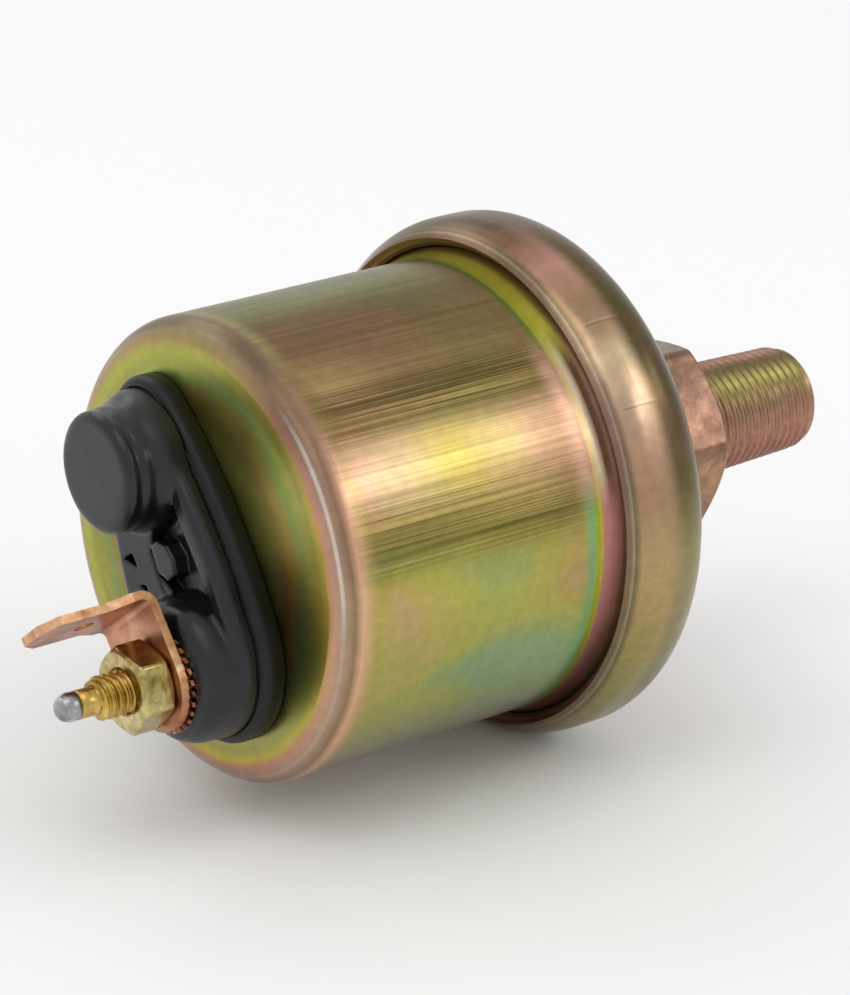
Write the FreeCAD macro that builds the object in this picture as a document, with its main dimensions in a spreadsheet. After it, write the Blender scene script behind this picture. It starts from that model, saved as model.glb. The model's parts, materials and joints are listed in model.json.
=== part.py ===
import FreeCAD, Part
import Sketcher
import math
import os
import re

os.makedirs("parts", exist_ok=True)
doc = FreeCAD.newDocument("oil_pressure_sender")

# Driving dimensions, in millimetres and degrees.
# The sender's axis is X. The origin is the centre of the hexagon's face on the thread's side,
# the thread points along +X and the terminals along -X. Stations are measured back from there.
SIZES = {
    # thread and hexagon
    "thread_length": 14.9,
    "thread_radius": 5.2,
    "thread_chamfer": 0.6,
    "hex_length": 12.0,
    "hex_across_flats": 17.0,
    "hex_turn": 53.0,
    "hex_face_radius": 8.2,
    "hex_chamfer_angle": 30.0,
    "port_radius": 2.0,
    "spigot_radius": 6.0,
    "spigot_flange_radius": 7.4,
    "spigot_flange": 0.8,
    "restrictor_radius": 3.0,
    "restrictor_length": 5.0,
    "restrictor_hole_radius": 0.4,
    # base cup
    "cup_wall": 1.2,
    "cup_corner": 4.2,
    "cup_inner_corner": 2.0,
    "cup_step": 2.8,
    "cup_slope": 3.0,
    "shoulder_angle": 45.0,
    "cup_seat_margin": 0.8,
    "cup_straight": 8.2,
    "cup_roll": 1.5,
    "cup_roll_radius": 4.4,
    # stack clamped in the cup
    "seal_thickness": 1.2,
    "seal_width": 4.0,
    "seal_relief": 1.3,
    "diaphragm_thickness": 0.3,
    "diaphragm_relief": 0.9,
    "wave_margin": 6.2,
    "wave_pitch": 2.6,
    "wave_height": 0.7,
    "carrier_rim": 4.5,
    "carrier_gap": 0.2,
    "carrier_chamfer": 1.3,
    "carrier_floor": 1.2,
    "pocket_margin": 0.4,
    "turret_height": 5.5,
    "turret_bore": 5.2,
    "rod_clearance": 0.08,
    # can
    "can_radius": 21.1,
    "can_wall": 0.8,
    "can_length": 32.0,
    "can_corner": 2.35,
    "can_inner_corner": 1.0,
    "flare_length": 2.3,
    "flare_height": 1.4,
    "foot_gap": 0.6,
    "flare_radius": 4.4,
    # push rod and leaf spring
    "pad_radius": 5.6,
    "pad_thickness": 1.2,
    "rod_radius": 1.2,
    "spring_sheet": 0.3,
    "spring_width": 4.0,
    "spring_rise": 11.2,
    "spring_gap": 0.05,
    # frame, lever and wiper
    "sheet": 1.0,
    "frame_half_width": 9.0,
    "frame_hole_clearance": 0.4,
    "ear_depth": 9.0,
    "ear_height": 10.5,
    "rivet_margin": 2.9,
    "rivet_edge": 2.3,
    "rivet_radius": 1.1,
    "rivet_head_radius": 1.9,
    "rivet_head": 0.7,
    "pin_radius": 1.0,
    "pin_clearance": 0.05,
    "pin_head": 0.8,
    "pivot_height": 7.4,
    "lever_arm": 4.0,
    "hub_radius": 1.9,
    "hub_gap": 0.3,
    "lever_thickness": 1.4,
    "lever_overhang": 2.6,
    "screw_radius": 0.9,
    "screw_length": 4.6,
    "lever_drop": 0.9,
    "tip_gap": 0.12,
    "tip_flat": 0.1,
    "wiper_length": 17.0,
    "wiper_lean": 10.0,
    "wiper_thickness": 0.4,
    "wiper_width": 3.2,
    "wiper_tip_width": 2.2,
    "wiper_gap": 0.4,
    "tab_length": 6.0,
    "tab_thickness": 1.2,
    "tab_relief": 0.3,
    "contact_radius": 0.8,
    "contact_height": 0.55,
    # resistor
    "former_length": 14.0,
    "former_width": 6.0,
    "former_thickness": 1.0,
    "winding_build": 0.2,
    "winding_margin": 2.0,
    "contact_gap": 0.05,
    "holder_width": 7.0,
    "holder_thickness": 1.8,
    "holder_relief": 0.2,
    "resistor_rivet_inset": 0.95,
    "resistor_rivet_radius": 0.5,
    "resistor_rivet_head_radius": 0.9,
    "resistor_rivet_head": 0.4,
    # terminals
    "cap_turn": 28.0,
    "gasket_thickness": 2.2,
    "outline_low_radius": 8.8,
    "outline_low_offset": 7.9,
    "outline_high_radius": 5.4,
    "outline_high_offset": 11.3,
    "outline_side_radius": 52.0,
    "cap_inset": 0.9,
    "cap_height": 1.9,
    "cap_rim": 2.2,
    "cap_floor": 0.4,
    "cap_edge": 0.7,
    "boss_offset": 9.2,
    "boss_radius": 5.6,
    "boss_height": 5.9,
    "boss_edge": 0.7,
    "boss_foot": 0.6,
    "boss_foot_height": 3.0,
    "boss_foot_slope": 0.5,
    "pad_offset": 9.5,
    "stud_pad_radius": 6.4,
    "stud_pad_edge": 1.5,
    "stud_pad_height": 4.9,
    "cap_spigot_wall": 1.2,
    "spigot_gap": 0.1,
    "shelf_width": 6.6,
    "shelf_overlap": 0.2,
    "lug_height": 2.2,
    "pit_depth": 0.8,
    "peg_radius": 2.0,
    "stud_radius": 2.0,
    "stud_gap": 0.1,
    "stud_bore": 0.45,
    "stud_head_radius": 3.4,
    "stud_head": 1.2,
    "stud_core_radius": 1.8,
    "nut_runout": 0.2,
    "stud_reach": 2.8,
    "neck_radius": 1.3,
    "neck_length": 1.9,
    "neck_chamfer": 0.3,
    "solder_radius": 1.35,
    "solder_reach": 1.95,
    "insulator_radius": 5.4,
    "insulator_thickness": 1.2,
    "lead_radius": 0.3,
    "lead_bend": 2.2,
    "tooth_radius": 4.8,
    "tooth_thickness": 0.5,
    "tooth_count": 30,
    "tooth_root": 4.25,
    "notch_overshoot": 0.5,
    "notch_share": 0.7,
    "washer_gap": 0.1,
    "blade_turn": 10.0,
    "strip_thickness": 0.8,
    "eye_radius": 4.45,
    "blade_offset": 7.2,
    "blade_width": 6.3,
    "blade_length": 9.6,
    "blade_root": 1.2,
    "blade_shoulder": 3.2,
    "blade_tip": 1.6,
    "bend_radius": 0.6,
    "detent_radius": 0.9,
    "detent_offset": 5.3,
    "nut_across_flats": 7.0,
    "nut_height": 3.3,
    "nut_face_share": 0.95,
    "nut_turn": 12.0,
}
# Irregular outlines on the cap, across and up it, as the photograph shows them
OUTLINES = {
    "lug": [(-0.5, -1.6), (-3.1, -1.5), (-3.7, 0.2), (-2.7, 2.2), (-0.7, 2.4), (1.2, 1.1), (0.8, -0.6)],
    "upper_pit": [(5.9, 1.6), (4.4, 1.9), (4.1, 0.7)],
    "lower_pit": [(4.7, -1.0), (3.8, -1.2), (3.7, -2.0)],
}
for name, corners in OUTLINES.items():
    for i, (across, up) in enumerate(corners, start=1):
        SIZES["%s_across_%d" % (name, i)] = across
        SIZES["%s_up_%d" % (name, i)] = up
sheet = doc.addObject("Spreadsheet::Sheet", "sizes")
for row, (alias, number) in enumerate(SIZES.items(), start=1):
    sheet.set("A%d" % row, alias.replace("_", " "))
    sheet.set("B%d" % row, str(number))
    sheet.setAlias("B%d" % row, alias)
doc.recompute()

# Sizes that follow from others
FOLLOWING = {
    "cup_radius": "can_radius + flare_height + foot_gap + cup_wall",
    "cup_inside_radius": "cup_radius - cup_wall",
    "carrier_radius": "cup_inside_radius - carrier_gap",
    "seal_outer_radius": "cup_inside_radius - cup_inner_corner - seal_relief",
    "diaphragm_radius": "cup_inside_radius - diaphragm_relief",
    "seal_inner_radius": "seal_outer_radius - seal_width",
    "carrier_pocket_radius": "seal_inner_radius - pocket_margin",
    "wave_inner_radius": "seal_inner_radius - wave_margin",
    "cup_foot_radius": "seal_inner_radius - cup_seat_margin",
    "cup_plateau_radius": "cup_foot_radius - cup_slope",
    "resistor_rivet_offset": "former_length / 2 - resistor_rivet_inset",
    "winding_length": "former_length - 2 * winding_margin",
    "turret_hole_radius": "turret_bore + carrier_floor + frame_hole_clearance",
    "rivet_offset": "turret_hole_radius + rivet_margin",
    "frame_half_depth": "rivet_offset + rivet_edge",
    "hub_length": "2 * (frame_half_width - sheet - hub_gap)",
    "resistor_back": "frame_half_width - sheet - holder_thickness",
    "winding_face": "resistor_back - former_thickness - winding_build",
    "wiper_seat": "winding_face - contact_gap - contact_height - wiper_thickness",
    "lever_width": "2 * (wiper_seat - tab_thickness - tab_relief)",
}

X_AXIS = FreeCAD.Vector(1, 0, 0)
parts = []


def link(text):
    """The same formula with each size named in the spreadsheet's own way."""
    def spelled(word):
        name = word.group()
        if name in FOLLOWING:
            return "(" + link(FOLLOWING[name]) + ")"
        return "sizes." + name if name in SIZES else name

    return re.sub(r"[a-z][a-z0-9_]*", spelled, text)


def value(text):
    """What the formula gives now."""
    return float(sheet.evalExpression(link(text)))


def bind(target, prop, text):
    target.setExpression(prop, link(text))


# Stations along the axis, each written once
X_PLATEAU = "-hex_length"
X_SHOULDER = "-(hex_length + cup_step)"
X_SEAT = "-(hex_length + cup_step + cup_wall)"
X_DIAPHRAGM = X_SEAT + " - seal_thickness"
X_CARRIER = X_DIAPHRAGM + " - diaphragm_thickness"
X_FOOT = X_CARRIER + " - carrier_rim"
X_FACE = X_FOOT + " - can_length"
X_INSIDE = X_FACE + " + can_wall"
X_GASKET = X_FACE + " - gasket_thickness"
X_PAD = X_GASKET + " - stud_pad_height"
X_STRIP = X_PAD + " - tooth_thickness"
X_NUT = X_STRIP + " - strip_thickness"
X_PIVOT = X_FOOT + " - pivot_height"


def place(target, x="0", y="0", z="0", axis=X_AXIS, turn="0"):
    """Puts an object at formulas for x, y and z, turned about one axis."""
    target.Placement = FreeCAD.Placement(FreeCAD.Vector(), FreeCAD.Rotation(axis, 1.0))
    vector = "create(<<vector>>; %g; %g; %g)" % tuple(axis)
    spot = "create(<<vector>>; %s; %s; %s)" % (link(x), link(y), link(z))
    turned = "create(<<rotation>>; %s; %s)" % (vector, link(turn))
    target.setExpression("Placement", "create(<<placement>>; %s; %s)" % (spot, turned))


def keep(target, label):
    target.Label = label
    parts.append(target)
    return target


def new_sketch(body, name, role="XY_Plane", lift="0"):
    plane = [item for item in body.Origin.OriginFeatures if item.Role == role][0]
    sketch = body.newObject("Sketcher::SketchObject", name)
    sketch.AttachmentSupport = [(plane, "")]
    sketch.MapMode = "FlatFace"
    bind(sketch, "AttachmentOffset.Base.z", lift)
    return sketch


def polygon(sketch, corners):
    """A closed outline. Each corner gives formulas for across and up, and may add one for its radius."""
    spots = [FreeCAD.Vector(value(corner[0]), value(corner[1]), 0) for corner in corners]
    count = len(corners)
    starts, ends = list(spots), list(spots)
    arcs = {}
    for i, corner in enumerate(corners):
        if len(corner) < 3:
            continue
        before = (spots[i - 1] - spots[i]).normalize()
        after = (spots[(i + 1) % count] - spots[i]).normalize()
        half = before.getAngle(after) / 2
        radius = value(corner[2])
        starts[i] = spots[i] + after * (radius / math.tan(half))
        ends[i] = spots[i] + before * (radius / math.tan(half))
        middle = spots[i] + (before + after).normalize() * (radius / math.sin(half) - radius)
        arcs[i] = Part.Arc(ends[i], middle, starts[i])
    lines = [sketch.addGeometry(Part.LineSegment(starts[i], ends[(i + 1) % count])) for i in range(count)]
    for i in range(count):
        if i not in arcs:
            sketch.addConstraint(Sketcher.Constraint("Coincident", lines[i - 1], 2, lines[i], 1))
            corner_of, point = lines[i], 1
        else:
            arc = sketch.addGeometry(arcs[i])
            first, last = (1, 2) if sketch.getPoint(arc, 1).isEqual(ends[i], 1e-4) else (2, 1)
            sketch.addConstraint(Sketcher.Constraint("Tangent", lines[i - 1], 2, arc, first))
            sketch.addConstraint(Sketcher.Constraint("Tangent", arc, last, lines[i], 1))
            made = sketch.addConstraint(Sketcher.Constraint("Radius", arc, value(corners[i][2])))
            bind(sketch, "Constraints[%d]" % made, corners[i][2])
            corner_of, point = sketch.addGeometry(Part.Point(spots[i]), True), 1
            sketch.addConstraint(Sketcher.Constraint("PointOnObject", corner_of, 1, lines[i - 1]))
            sketch.addConstraint(Sketcher.Constraint("PointOnObject", corner_of, 1, lines[i]))
        for kind, number, text in (("DistanceX", spots[i].x, corners[i][0]),
                                   ("DistanceY", spots[i].y, corners[i][1])):
            made = sketch.addConstraint(Sketcher.Constraint(kind, -1, 1, corner_of, point, number))
            bind(sketch, "Constraints[%d]" % made, text)


def circle(sketch, radius, across="0", up="0"):
    centre = FreeCAD.Vector(value(across), value(up), 0)
    made = sketch.addGeometry(Part.Circle(centre, FreeCAD.Vector(0, 0, 1), value(radius)))
    size = sketch.addConstraint(Sketcher.Constraint("Radius", made, value(radius)))
    bind(sketch, "Constraints[%d]" % size, radius)
    for kind, number, text in (("DistanceX", centre.x, across), ("DistanceY", centre.y, up)):
        bound = sketch.addConstraint(Sketcher.Constraint(kind, -1, 1, made, 3, number))
        bind(sketch, "Constraints[%d]" % bound, text)


def new_body(label):
    return keep(doc.addObject("PartDesign::Body", label), label)


def group(label, members):
    """Fasteners of one kind as one subcomponent of separate solids."""
    for member in members:
        parts.remove(member)
    compound = doc.addObject("Part::Compound", label)
    compound.Links = members
    doc.recompute()
    return keep(compound, label)


def turned(label, corners, axis="H_Axis"):
    """A body revolved about X from stations and radii, or about Y from radii and stations."""
    body = new_body(label)
    sketch = new_sketch(body, label + "_profile")
    polygon(sketch, corners)
    feature = body.newObject("PartDesign::Revolution", label + "_turning")
    feature.Profile = sketch
    feature.ReferenceAxis = (sketch, [axis])
    feature.Angle = 360
    doc.recompute()
    return body


def padded(body, sketch, length, name, kind="Pad", back=False, both=False):
    feature = body.newObject("PartDesign::" + kind, name)
    feature.Profile = sketch
    bind(feature, "Length", length)
    feature.Reversed = back
    feature.Midplane = both
    doc.recompute()
    return feature


def ring_edges(shape, station, radius):
    """Names of the circular edges about X at a station and a radius."""
    found = []
    for number, edge in enumerate(shape.Edges, start=1):
        if not isinstance(edge.Curve, Part.Circle):
            continue
        if abs(edge.Curve.Center.x - station) < 1e-4 and abs(edge.Curve.Radius - radius) < 1e-4:
            found.append("Edge%d" % number)
    return found


def edges_at(shape, station):
    """Names of the edges that lie wholly at one station."""
    return ["Edge%d" % number for number, edge in enumerate(shape.Edges, start=1)
            if edge.BoundBox.XLength < 1e-4 and abs(edge.BoundBox.XMin - station) < 1e-4]


def soften(body, edges, size, name, kind="Fillet"):
    """A fillet or a chamfer on the named edges of the body's last feature."""
    base = body.Tip
    feature = body.newObject("PartDesign::" + kind, name)
    feature.Base = (base, edges)
    bind(feature, "Radius" if kind == "Fillet" else "Size", size)
    doc.recompute()
    return feature


# Hexagon fitting: hexagon, pipe thread's plain core, spigot swaged over the cup's floor
body = new_body("hex_fitting")
sketch = new_sketch(body, "hex_outline", "YZ_Plane")
polygon(sketch, [("hex_across_flats / sqrt(3) * cos(hex_turn + %d)" % (60 * i),
                  "hex_across_flats / sqrt(3) * sin(hex_turn + %d)" % (60 * i)) for i in range(6)])
padded(body, sketch, "hex_length", "hexagon", back=True)
sketch = new_sketch(body, "hex_corner_cut")
polygon(sketch, [("0", "hex_face_radius"),
                 ("0", "hex_across_flats"),
                 ("-(hex_across_flats - hex_face_radius) * tan(hex_chamfer_angle)", "hex_across_flats")])
groove = body.newObject("PartDesign::Groove", "hex_chamfer")
groove.Profile = sketch
groove.ReferenceAxis = (sketch, ["H_Axis"])
groove.Angle = 360
doc.recompute()
sketch = new_sketch(body, "thread_profile")
X_SWAGE = X_PLATEAU + " - cup_wall"
polygon(sketch, [("-hex_length / 2", "0"),
                 ("-hex_length / 2", "thread_radius"),
                 ("thread_length - thread_chamfer", "thread_radius"),
                 ("thread_length", "thread_radius - thread_chamfer"),
                 ("thread_length", "0")])
nose = body.newObject("PartDesign::Revolution", "thread_core")
nose.Profile = sketch
nose.ReferenceAxis = (sketch, ["H_Axis"])
nose.Angle = 360
sketch = new_sketch(body, "spigot_profile")
polygon(sketch, [("-hex_length / 2", "0"),
                 (X_SWAGE + " - spigot_flange", "0"),
                 (X_SWAGE + " - spigot_flange", "spigot_flange_radius - spigot_flange / 2"),
                 (X_SWAGE, "spigot_flange_radius"),
                 (X_SWAGE, "spigot_radius"),
                 ("-hex_length / 2", "spigot_radius")])
spigot = body.newObject("PartDesign::Revolution", "spigot")
spigot.Profile = sketch
spigot.ReferenceAxis = (sketch, ["H_Axis"])
spigot.Angle = 360
doc.recompute()
sketch = new_sketch(body, "port_profile")
X_PLUG = X_SWAGE + " - spigot_flange + restrictor_length"
polygon(sketch, [(X_SWAGE + " - spigot_flange", "0"),
                 (X_SWAGE + " - spigot_flange", "restrictor_radius"),
                 (X_PLUG, "restrictor_radius"),
                 (X_PLUG, "port_radius"),
                 ("thread_length", "port_radius"),
                 ("thread_length", "0")])
port = body.newObject("PartDesign::Groove", "oil_port")
port.Profile = sketch
port.ReferenceAxis = (sketch, ["H_Axis"])
port.Angle = 360
doc.recompute()

# Restrictor plug pressed into the inner end of the port
turned("port_restrictor", [(X_PLUG, "restrictor_hole_radius"),
                           (X_PLUG, "restrictor_radius"),
                           (X_SWAGE + " - spigot_flange", "restrictor_radius"),
                           (X_SWAGE + " - spigot_flange", "restrictor_hole_radius")])

# Base cup: drawn sheet with a raised plateau, a round shoulder and a rolled rim
X_ROLL = X_SHOULDER + " - cup_straight"
X_LIP = X_ROLL + " - cup_roll"
slip = "cup_wall * tan(shoulder_angle / 2)"
diagonal = "cup_wall * sin(shoulder_angle)"
turned("base_cup", [
    (X_PLATEAU, "spigot_radius"),
    (X_PLATEAU, "cup_plateau_radius"),
    (X_SHOULDER, "cup_foot_radius"),
    (X_SHOULDER, "cup_radius", "cup_corner"),
    (X_ROLL, "cup_radius", "cup_roll_radius"),
    (X_LIP, "cup_radius - cup_roll"),
    (X_LIP + " + " + diagonal, "cup_radius - cup_roll - " + diagonal),
    (X_ROLL + " + " + slip, "cup_inside_radius"),
    (X_SEAT + " - cup_inner_corner", "cup_inside_radius"),
    (X_SEAT, "cup_inside_radius - cup_inner_corner"),
    (X_SEAT, "cup_foot_radius - cup_wall * tan(shoulder_angle / 2)"),
    (X_PLATEAU + " - cup_wall", "cup_plateau_radius - cup_wall * tan(shoulder_angle / 2)"),
    (X_PLATEAU + " - cup_wall", "spigot_radius")])

# Ring between the cup's floor and the diaphragm
turned("diaphragm_seal", [(X_SEAT, "seal_inner_radius"),
                          (X_SEAT, "seal_outer_radius"),
                          (X_DIAPHRAGM, "seal_outer_radius"),
                          (X_DIAPHRAGM, "seal_inner_radius")])

# Diaphragm: thin disc with two pressed waves
wave = []
for step in range(2):
    start = "wave_inner_radius + %d * wave_pitch" % step
    wave += [(X_DIAPHRAGM, start),
             (X_DIAPHRAGM + " + wave_height", start + " + wave_pitch / 3"),
             (X_DIAPHRAGM + " + wave_height", start + " + wave_pitch / 2"),
             (X_DIAPHRAGM, start + " + wave_pitch * 5 / 6")]
outer_side = [(X_DIAPHRAGM, "0")] + wave + [(X_DIAPHRAGM, "diaphragm_radius")]
inner_side = [(x + " - diaphragm_thickness", r) for x, r in reversed(outer_side)]
turned("diaphragm", outer_side + inner_side)

# Carrier plate: rim clamped by the can's foot, pocket over the diaphragm, turret round the push rod
X_TURRET = X_FOOT + " - turret_height"
X_POCKET = X_FOOT + " + carrier_floor"
X_TURRET_FLOOR = X_TURRET + " + carrier_floor"
turned("carrier_plate", [
    (X_CARRIER, "carrier_pocket_radius"),
    (X_CARRIER, "carrier_radius - carrier_chamfer"),
    (X_CARRIER + " - carrier_chamfer", "carrier_radius"),
    (X_FOOT, "carrier_radius"),
    (X_FOOT, "turret_bore + carrier_floor"),
    (X_TURRET, "turret_bore + carrier_floor"),
    (X_TURRET, "rod_radius + rod_clearance"),
    (X_TURRET_FLOOR, "rod_radius + rod_clearance"),
    (X_TURRET_FLOOR, "turret_bore"),
    (X_POCKET, "turret_bore"),
    (X_POCKET, "carrier_pocket_radius")])

# Can: deep drawn shell with a flared foot under the cup's rolled rim, two holes in its face
X_FLARE = X_FOOT + " - flare_length"
X_FLARE_INSIDE = X_FLARE + " + can_wall * tan(atan(flare_height / (flare_length - can_wall)) / 2)"
can = turned("housing_can", [
    (X_FACE, "0"),
    (X_FACE, "can_radius", "can_corner"),
    (X_FLARE, "can_radius", "flare_radius"),
    (X_FOOT + " - can_wall", "can_radius + flare_height"),
    (X_FOOT, "can_radius + flare_height"),
    (X_FOOT, "can_radius + flare_height - can_wall / 4"),
    (X_FLARE_INSIDE, "can_radius - can_wall"),
    (X_INSIDE + " + can_inner_corner", "can_radius - can_wall"),
    (X_INSIDE, "can_radius - can_wall - can_inner_corner"),
    (X_INSIDE, "0")])
sketch = new_sketch(can, "face_holes", "YZ_Plane", X_FACE)
stud_y = "-pad_offset * sin(cap_turn)"
stud_z = "-pad_offset * cos(cap_turn)"
circle(sketch, "stud_radius + stud_gap + cap_spigot_wall + spigot_gap", stud_y, stud_z)
circle(sketch, "peg_radius + spigot_gap", "boss_offset * sin(cap_turn)", "boss_offset * cos(cap_turn)")
padded(can, sketch, "2 * can_wall", "face_holes_cut", kind="Pocket", back=True)

# Push rod: disc on the diaphragm's dry side and a rod through the turret
X_DISC = X_CARRIER + " - pad_thickness"
push_rod = turned("push_rod", [
    (X_CARRIER, "0"),
    (X_CARRIER, "pad_radius"),
    (X_DISC, "pad_radius"),
    (X_DISC, "rod_radius"),
    (X_PIVOT + " + tip_gap", "rod_radius"),
    (X_PIVOT + " + tip_gap", "0")])

# Frame: sheet base round the turret and two ears, the taller one carrying the resistor
Z_PIVOT = "-lever_arm"
X_RESISTOR = X_PIVOT + " - wiper_length"
frame = new_body("mechanism_frame")
sketch = new_sketch(frame, "base_outline", "YZ_Plane", X_FOOT)
polygon(sketch, [("-frame_half_width", "-frame_half_depth"),
                 ("frame_half_width", "-frame_half_depth"),
                 ("frame_half_width", "frame_half_depth"),
                 ("-frame_half_width", "frame_half_depth")])
circle(sketch, "turret_hole_radius")
circle(sketch, "rivet_radius", "0", "rivet_offset")
circle(sketch, "rivet_radius", "0", "-rivet_offset")
padded(frame, sketch, "sheet", "base", back=True)
sketch = new_sketch(frame, "short_ear_outline", "XZ_Plane", "frame_half_width")
polygon(sketch, [(X_FOOT, Z_PIVOT + " - ear_depth / 2"),
                 (X_FOOT, Z_PIVOT + " + ear_depth / 2"),
                 (X_FOOT + " - ear_height", Z_PIVOT + " + ear_depth / 4"),
                 (X_FOOT + " - ear_height", Z_PIVOT + " - ear_depth / 4")])
circle(sketch, "pin_radius", X_PIVOT, Z_PIVOT)
padded(frame, sketch, "sheet", "short_ear", back=True)
sketch = new_sketch(frame, "tall_ear_outline", "XZ_Plane", "-frame_half_width")
X_ARM_END = X_RESISTOR + " + holder_width / 2"
polygon(sketch, [(X_FOOT, Z_PIVOT + " - ear_depth / 2"),
                 (X_FOOT, Z_PIVOT + " + ear_depth / 2"),
                 (X_ARM_END, Z_PIVOT + " + ear_depth / 2"),
                 (X_ARM_END, Z_PIVOT + " + former_length / 2"),
                 (X_RESISTOR + " - holder_width / 2", Z_PIVOT + " + former_length / 2"),
                 (X_RESISTOR + " - holder_width / 2", Z_PIVOT + " - former_length / 2"),
                 (X_ARM_END, Z_PIVOT + " - former_length / 2"),
                 (X_ARM_END, Z_PIVOT + " - ear_depth / 2")])
circle(sketch, "pin_radius", X_PIVOT, Z_PIVOT)
for side in ("+", "-"):
    circle(sketch, "resistor_rivet_radius", X_RESISTOR, Z_PIVOT + " " + side + " resistor_rivet_offset")
padded(frame, sketch, "sheet", "tall_ear")

# Leaf spring: foot under one rivet, upright beside the turret, tongue on the lever's back
X_LEAF = X_FOOT + " - sheet"
Z_LEAF = "turret_hole_radius"
spring = new_body("return_spring")
sketch = new_sketch(spring, "leaf_profile", "XZ_Plane")
X_BACK = X_PIVOT + " - lever_drop - lever_thickness - spring_gap"
polygon(sketch, [(X_LEAF, "frame_half_depth"),
                 (X_LEAF, Z_LEAF),
                 (X_LEAF + " - spring_rise", Z_LEAF),
                 (X_BACK, "(screw_radius + lever_overhang) / 2"),
                 (X_BACK + " - spring_sheet", "(screw_radius + lever_overhang) / 2"),
                 (X_LEAF + " - spring_rise - spring_sheet", Z_LEAF + " + spring_sheet"),
                 (X_LEAF + " - spring_sheet", Z_LEAF + " + spring_sheet"),
                 (X_LEAF + " - spring_sheet", "frame_half_depth")])
padded(spring, sketch, "spring_width", "leaf", both=True)
sketch = new_sketch(spring, "leaf_hole", "YZ_Plane", X_LEAF)
circle(sketch, "rivet_radius", "0", "rivet_offset")
padded(spring, sketch, "2 * spring_sheet", "leaf_hole_cut", kind="Pocket")

# Rivets through the carrier plate's floor, the frame's base and, on one side, the spring's foot
carrier = [item for item in parts if item.Label == "carrier_plate"][0]
sketch = new_sketch(carrier, "rivet_holes", "YZ_Plane", X_FOOT)
circle(sketch, "rivet_radius", "0", "rivet_offset")
circle(sketch, "rivet_radius", "0", "-rivet_offset")
padded(carrier, sketch, "carrier_floor", "rivet_hole_cut", kind="Pocket", back=True)
frame_rivets = []
for side, top in (("", X_LEAF + " - spring_sheet"), ("-", X_LEAF)):
    rivet = turned("frame_rivet_%d" % (len(frame_rivets) + 1), [
        (X_POCKET + " + rivet_head", "0"),
        (X_POCKET + " + rivet_head", "rivet_head_radius - rivet_head / 2"),
        (X_POCKET, "rivet_head_radius"),
        (X_POCKET, "rivet_radius"),
        (top, "rivet_radius"),
        (top, "rivet_head_radius"),
        (top + " - rivet_head", "rivet_head_radius - rivet_head / 2"),
        (top + " - rivet_head", "0")])
    place(rivet, z=side + "rivet_offset")
    frame_rivets.append(rivet)
group("frame_rivets", frame_rivets)

# Pivot pin, headed outside both ears
pin = turned("pivot_pin", [("0", "-frame_half_width - pin_head"),
                           ("pin_radius + pin_head / 2", "-frame_half_width - pin_head"),
                           ("pin_radius + pin_head / 2", "-frame_half_width"),
                           ("pin_radius", "-frame_half_width"),
                           ("pin_radius", "frame_half_width"),
                           ("pin_radius + pin_head / 2", "frame_half_width"),
                           ("pin_radius + pin_head / 2", "frame_half_width + pin_head"),
                           ("0", "frame_half_width + pin_head")], axis="V_Axis")
place(pin, x=X_PIVOT, z=Z_PIVOT)


def beside_pivot(along, across):
    """Station and height of a point along and across the leaning wiper, from the pivot."""
    station = X_PIVOT + " - (%s) * cos(wiper_lean) + (%s) * sin(wiper_lean)" % (along, across)
    height = Z_PIVOT + " + (%s) * sin(wiper_lean) + (%s) * cos(wiper_lean)" % (along, across)
    return station, height


# Rocker lever: hub on the pin, arm over the rod, tab that carries the wiper
lever = new_body("rocker_lever")
sketch = new_sketch(lever, "hub_outline", "XZ_Plane")
circle(sketch, "hub_radius", X_PIVOT, Z_PIVOT)
padded(lever, sketch, "hub_length", "hub", both=True)
sketch = new_sketch(lever, "arm_outline", "XZ_Plane")
polygon(sketch, [(X_PIVOT + " - lever_drop", Z_PIVOT),
                 (X_PIVOT + " - lever_drop", "lever_overhang"),
                 (X_PIVOT + " - lever_drop - lever_thickness", "lever_overhang"),
                 (X_PIVOT + " - lever_drop - lever_thickness", Z_PIVOT)])
padded(lever, sketch, "lever_width", "arm", both=True)
sketch = new_sketch(lever, "tab_outline", "XZ_Plane", "-wiper_seat")
polygon(sketch, [beside_pivot("0", "wiper_width / 2"),
                 beside_pivot("tab_length", "wiper_width / 2"),
                 beside_pivot("tab_length", "-wiper_width / 2"),
                 beside_pivot("0", "-wiper_width / 2")])
padded(lever, sketch, "tab_thickness", "wiper_tab")
sketch = new_sketch(lever, "pin_bore_outline", "XZ_Plane")
circle(sketch, "pin_radius + pin_clearance", X_PIVOT, Z_PIVOT)
padded(lever, sketch, "hub_length * 2", "pin_bore", kind="Pocket", both=True)
sketch = new_sketch(lever, "screw_hole_outline", "YZ_Plane", X_PIVOT)
circle(sketch, "screw_radius")
padded(lever, sketch, "lever_drop + 2 * lever_thickness", "screw_hole", kind="Pocket")

# Adjusting screw with a pointed end, slotted at the other
turned("adjusting_screw", [(X_PIVOT, "0"),
                           (X_PIVOT, "tip_flat"),
                           (X_PIVOT + " - screw_radius + tip_flat", "screw_radius"),
                           (X_PIVOT + " - screw_length", "screw_radius"),
                           (X_PIVOT + " - screw_length", "0")])

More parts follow.
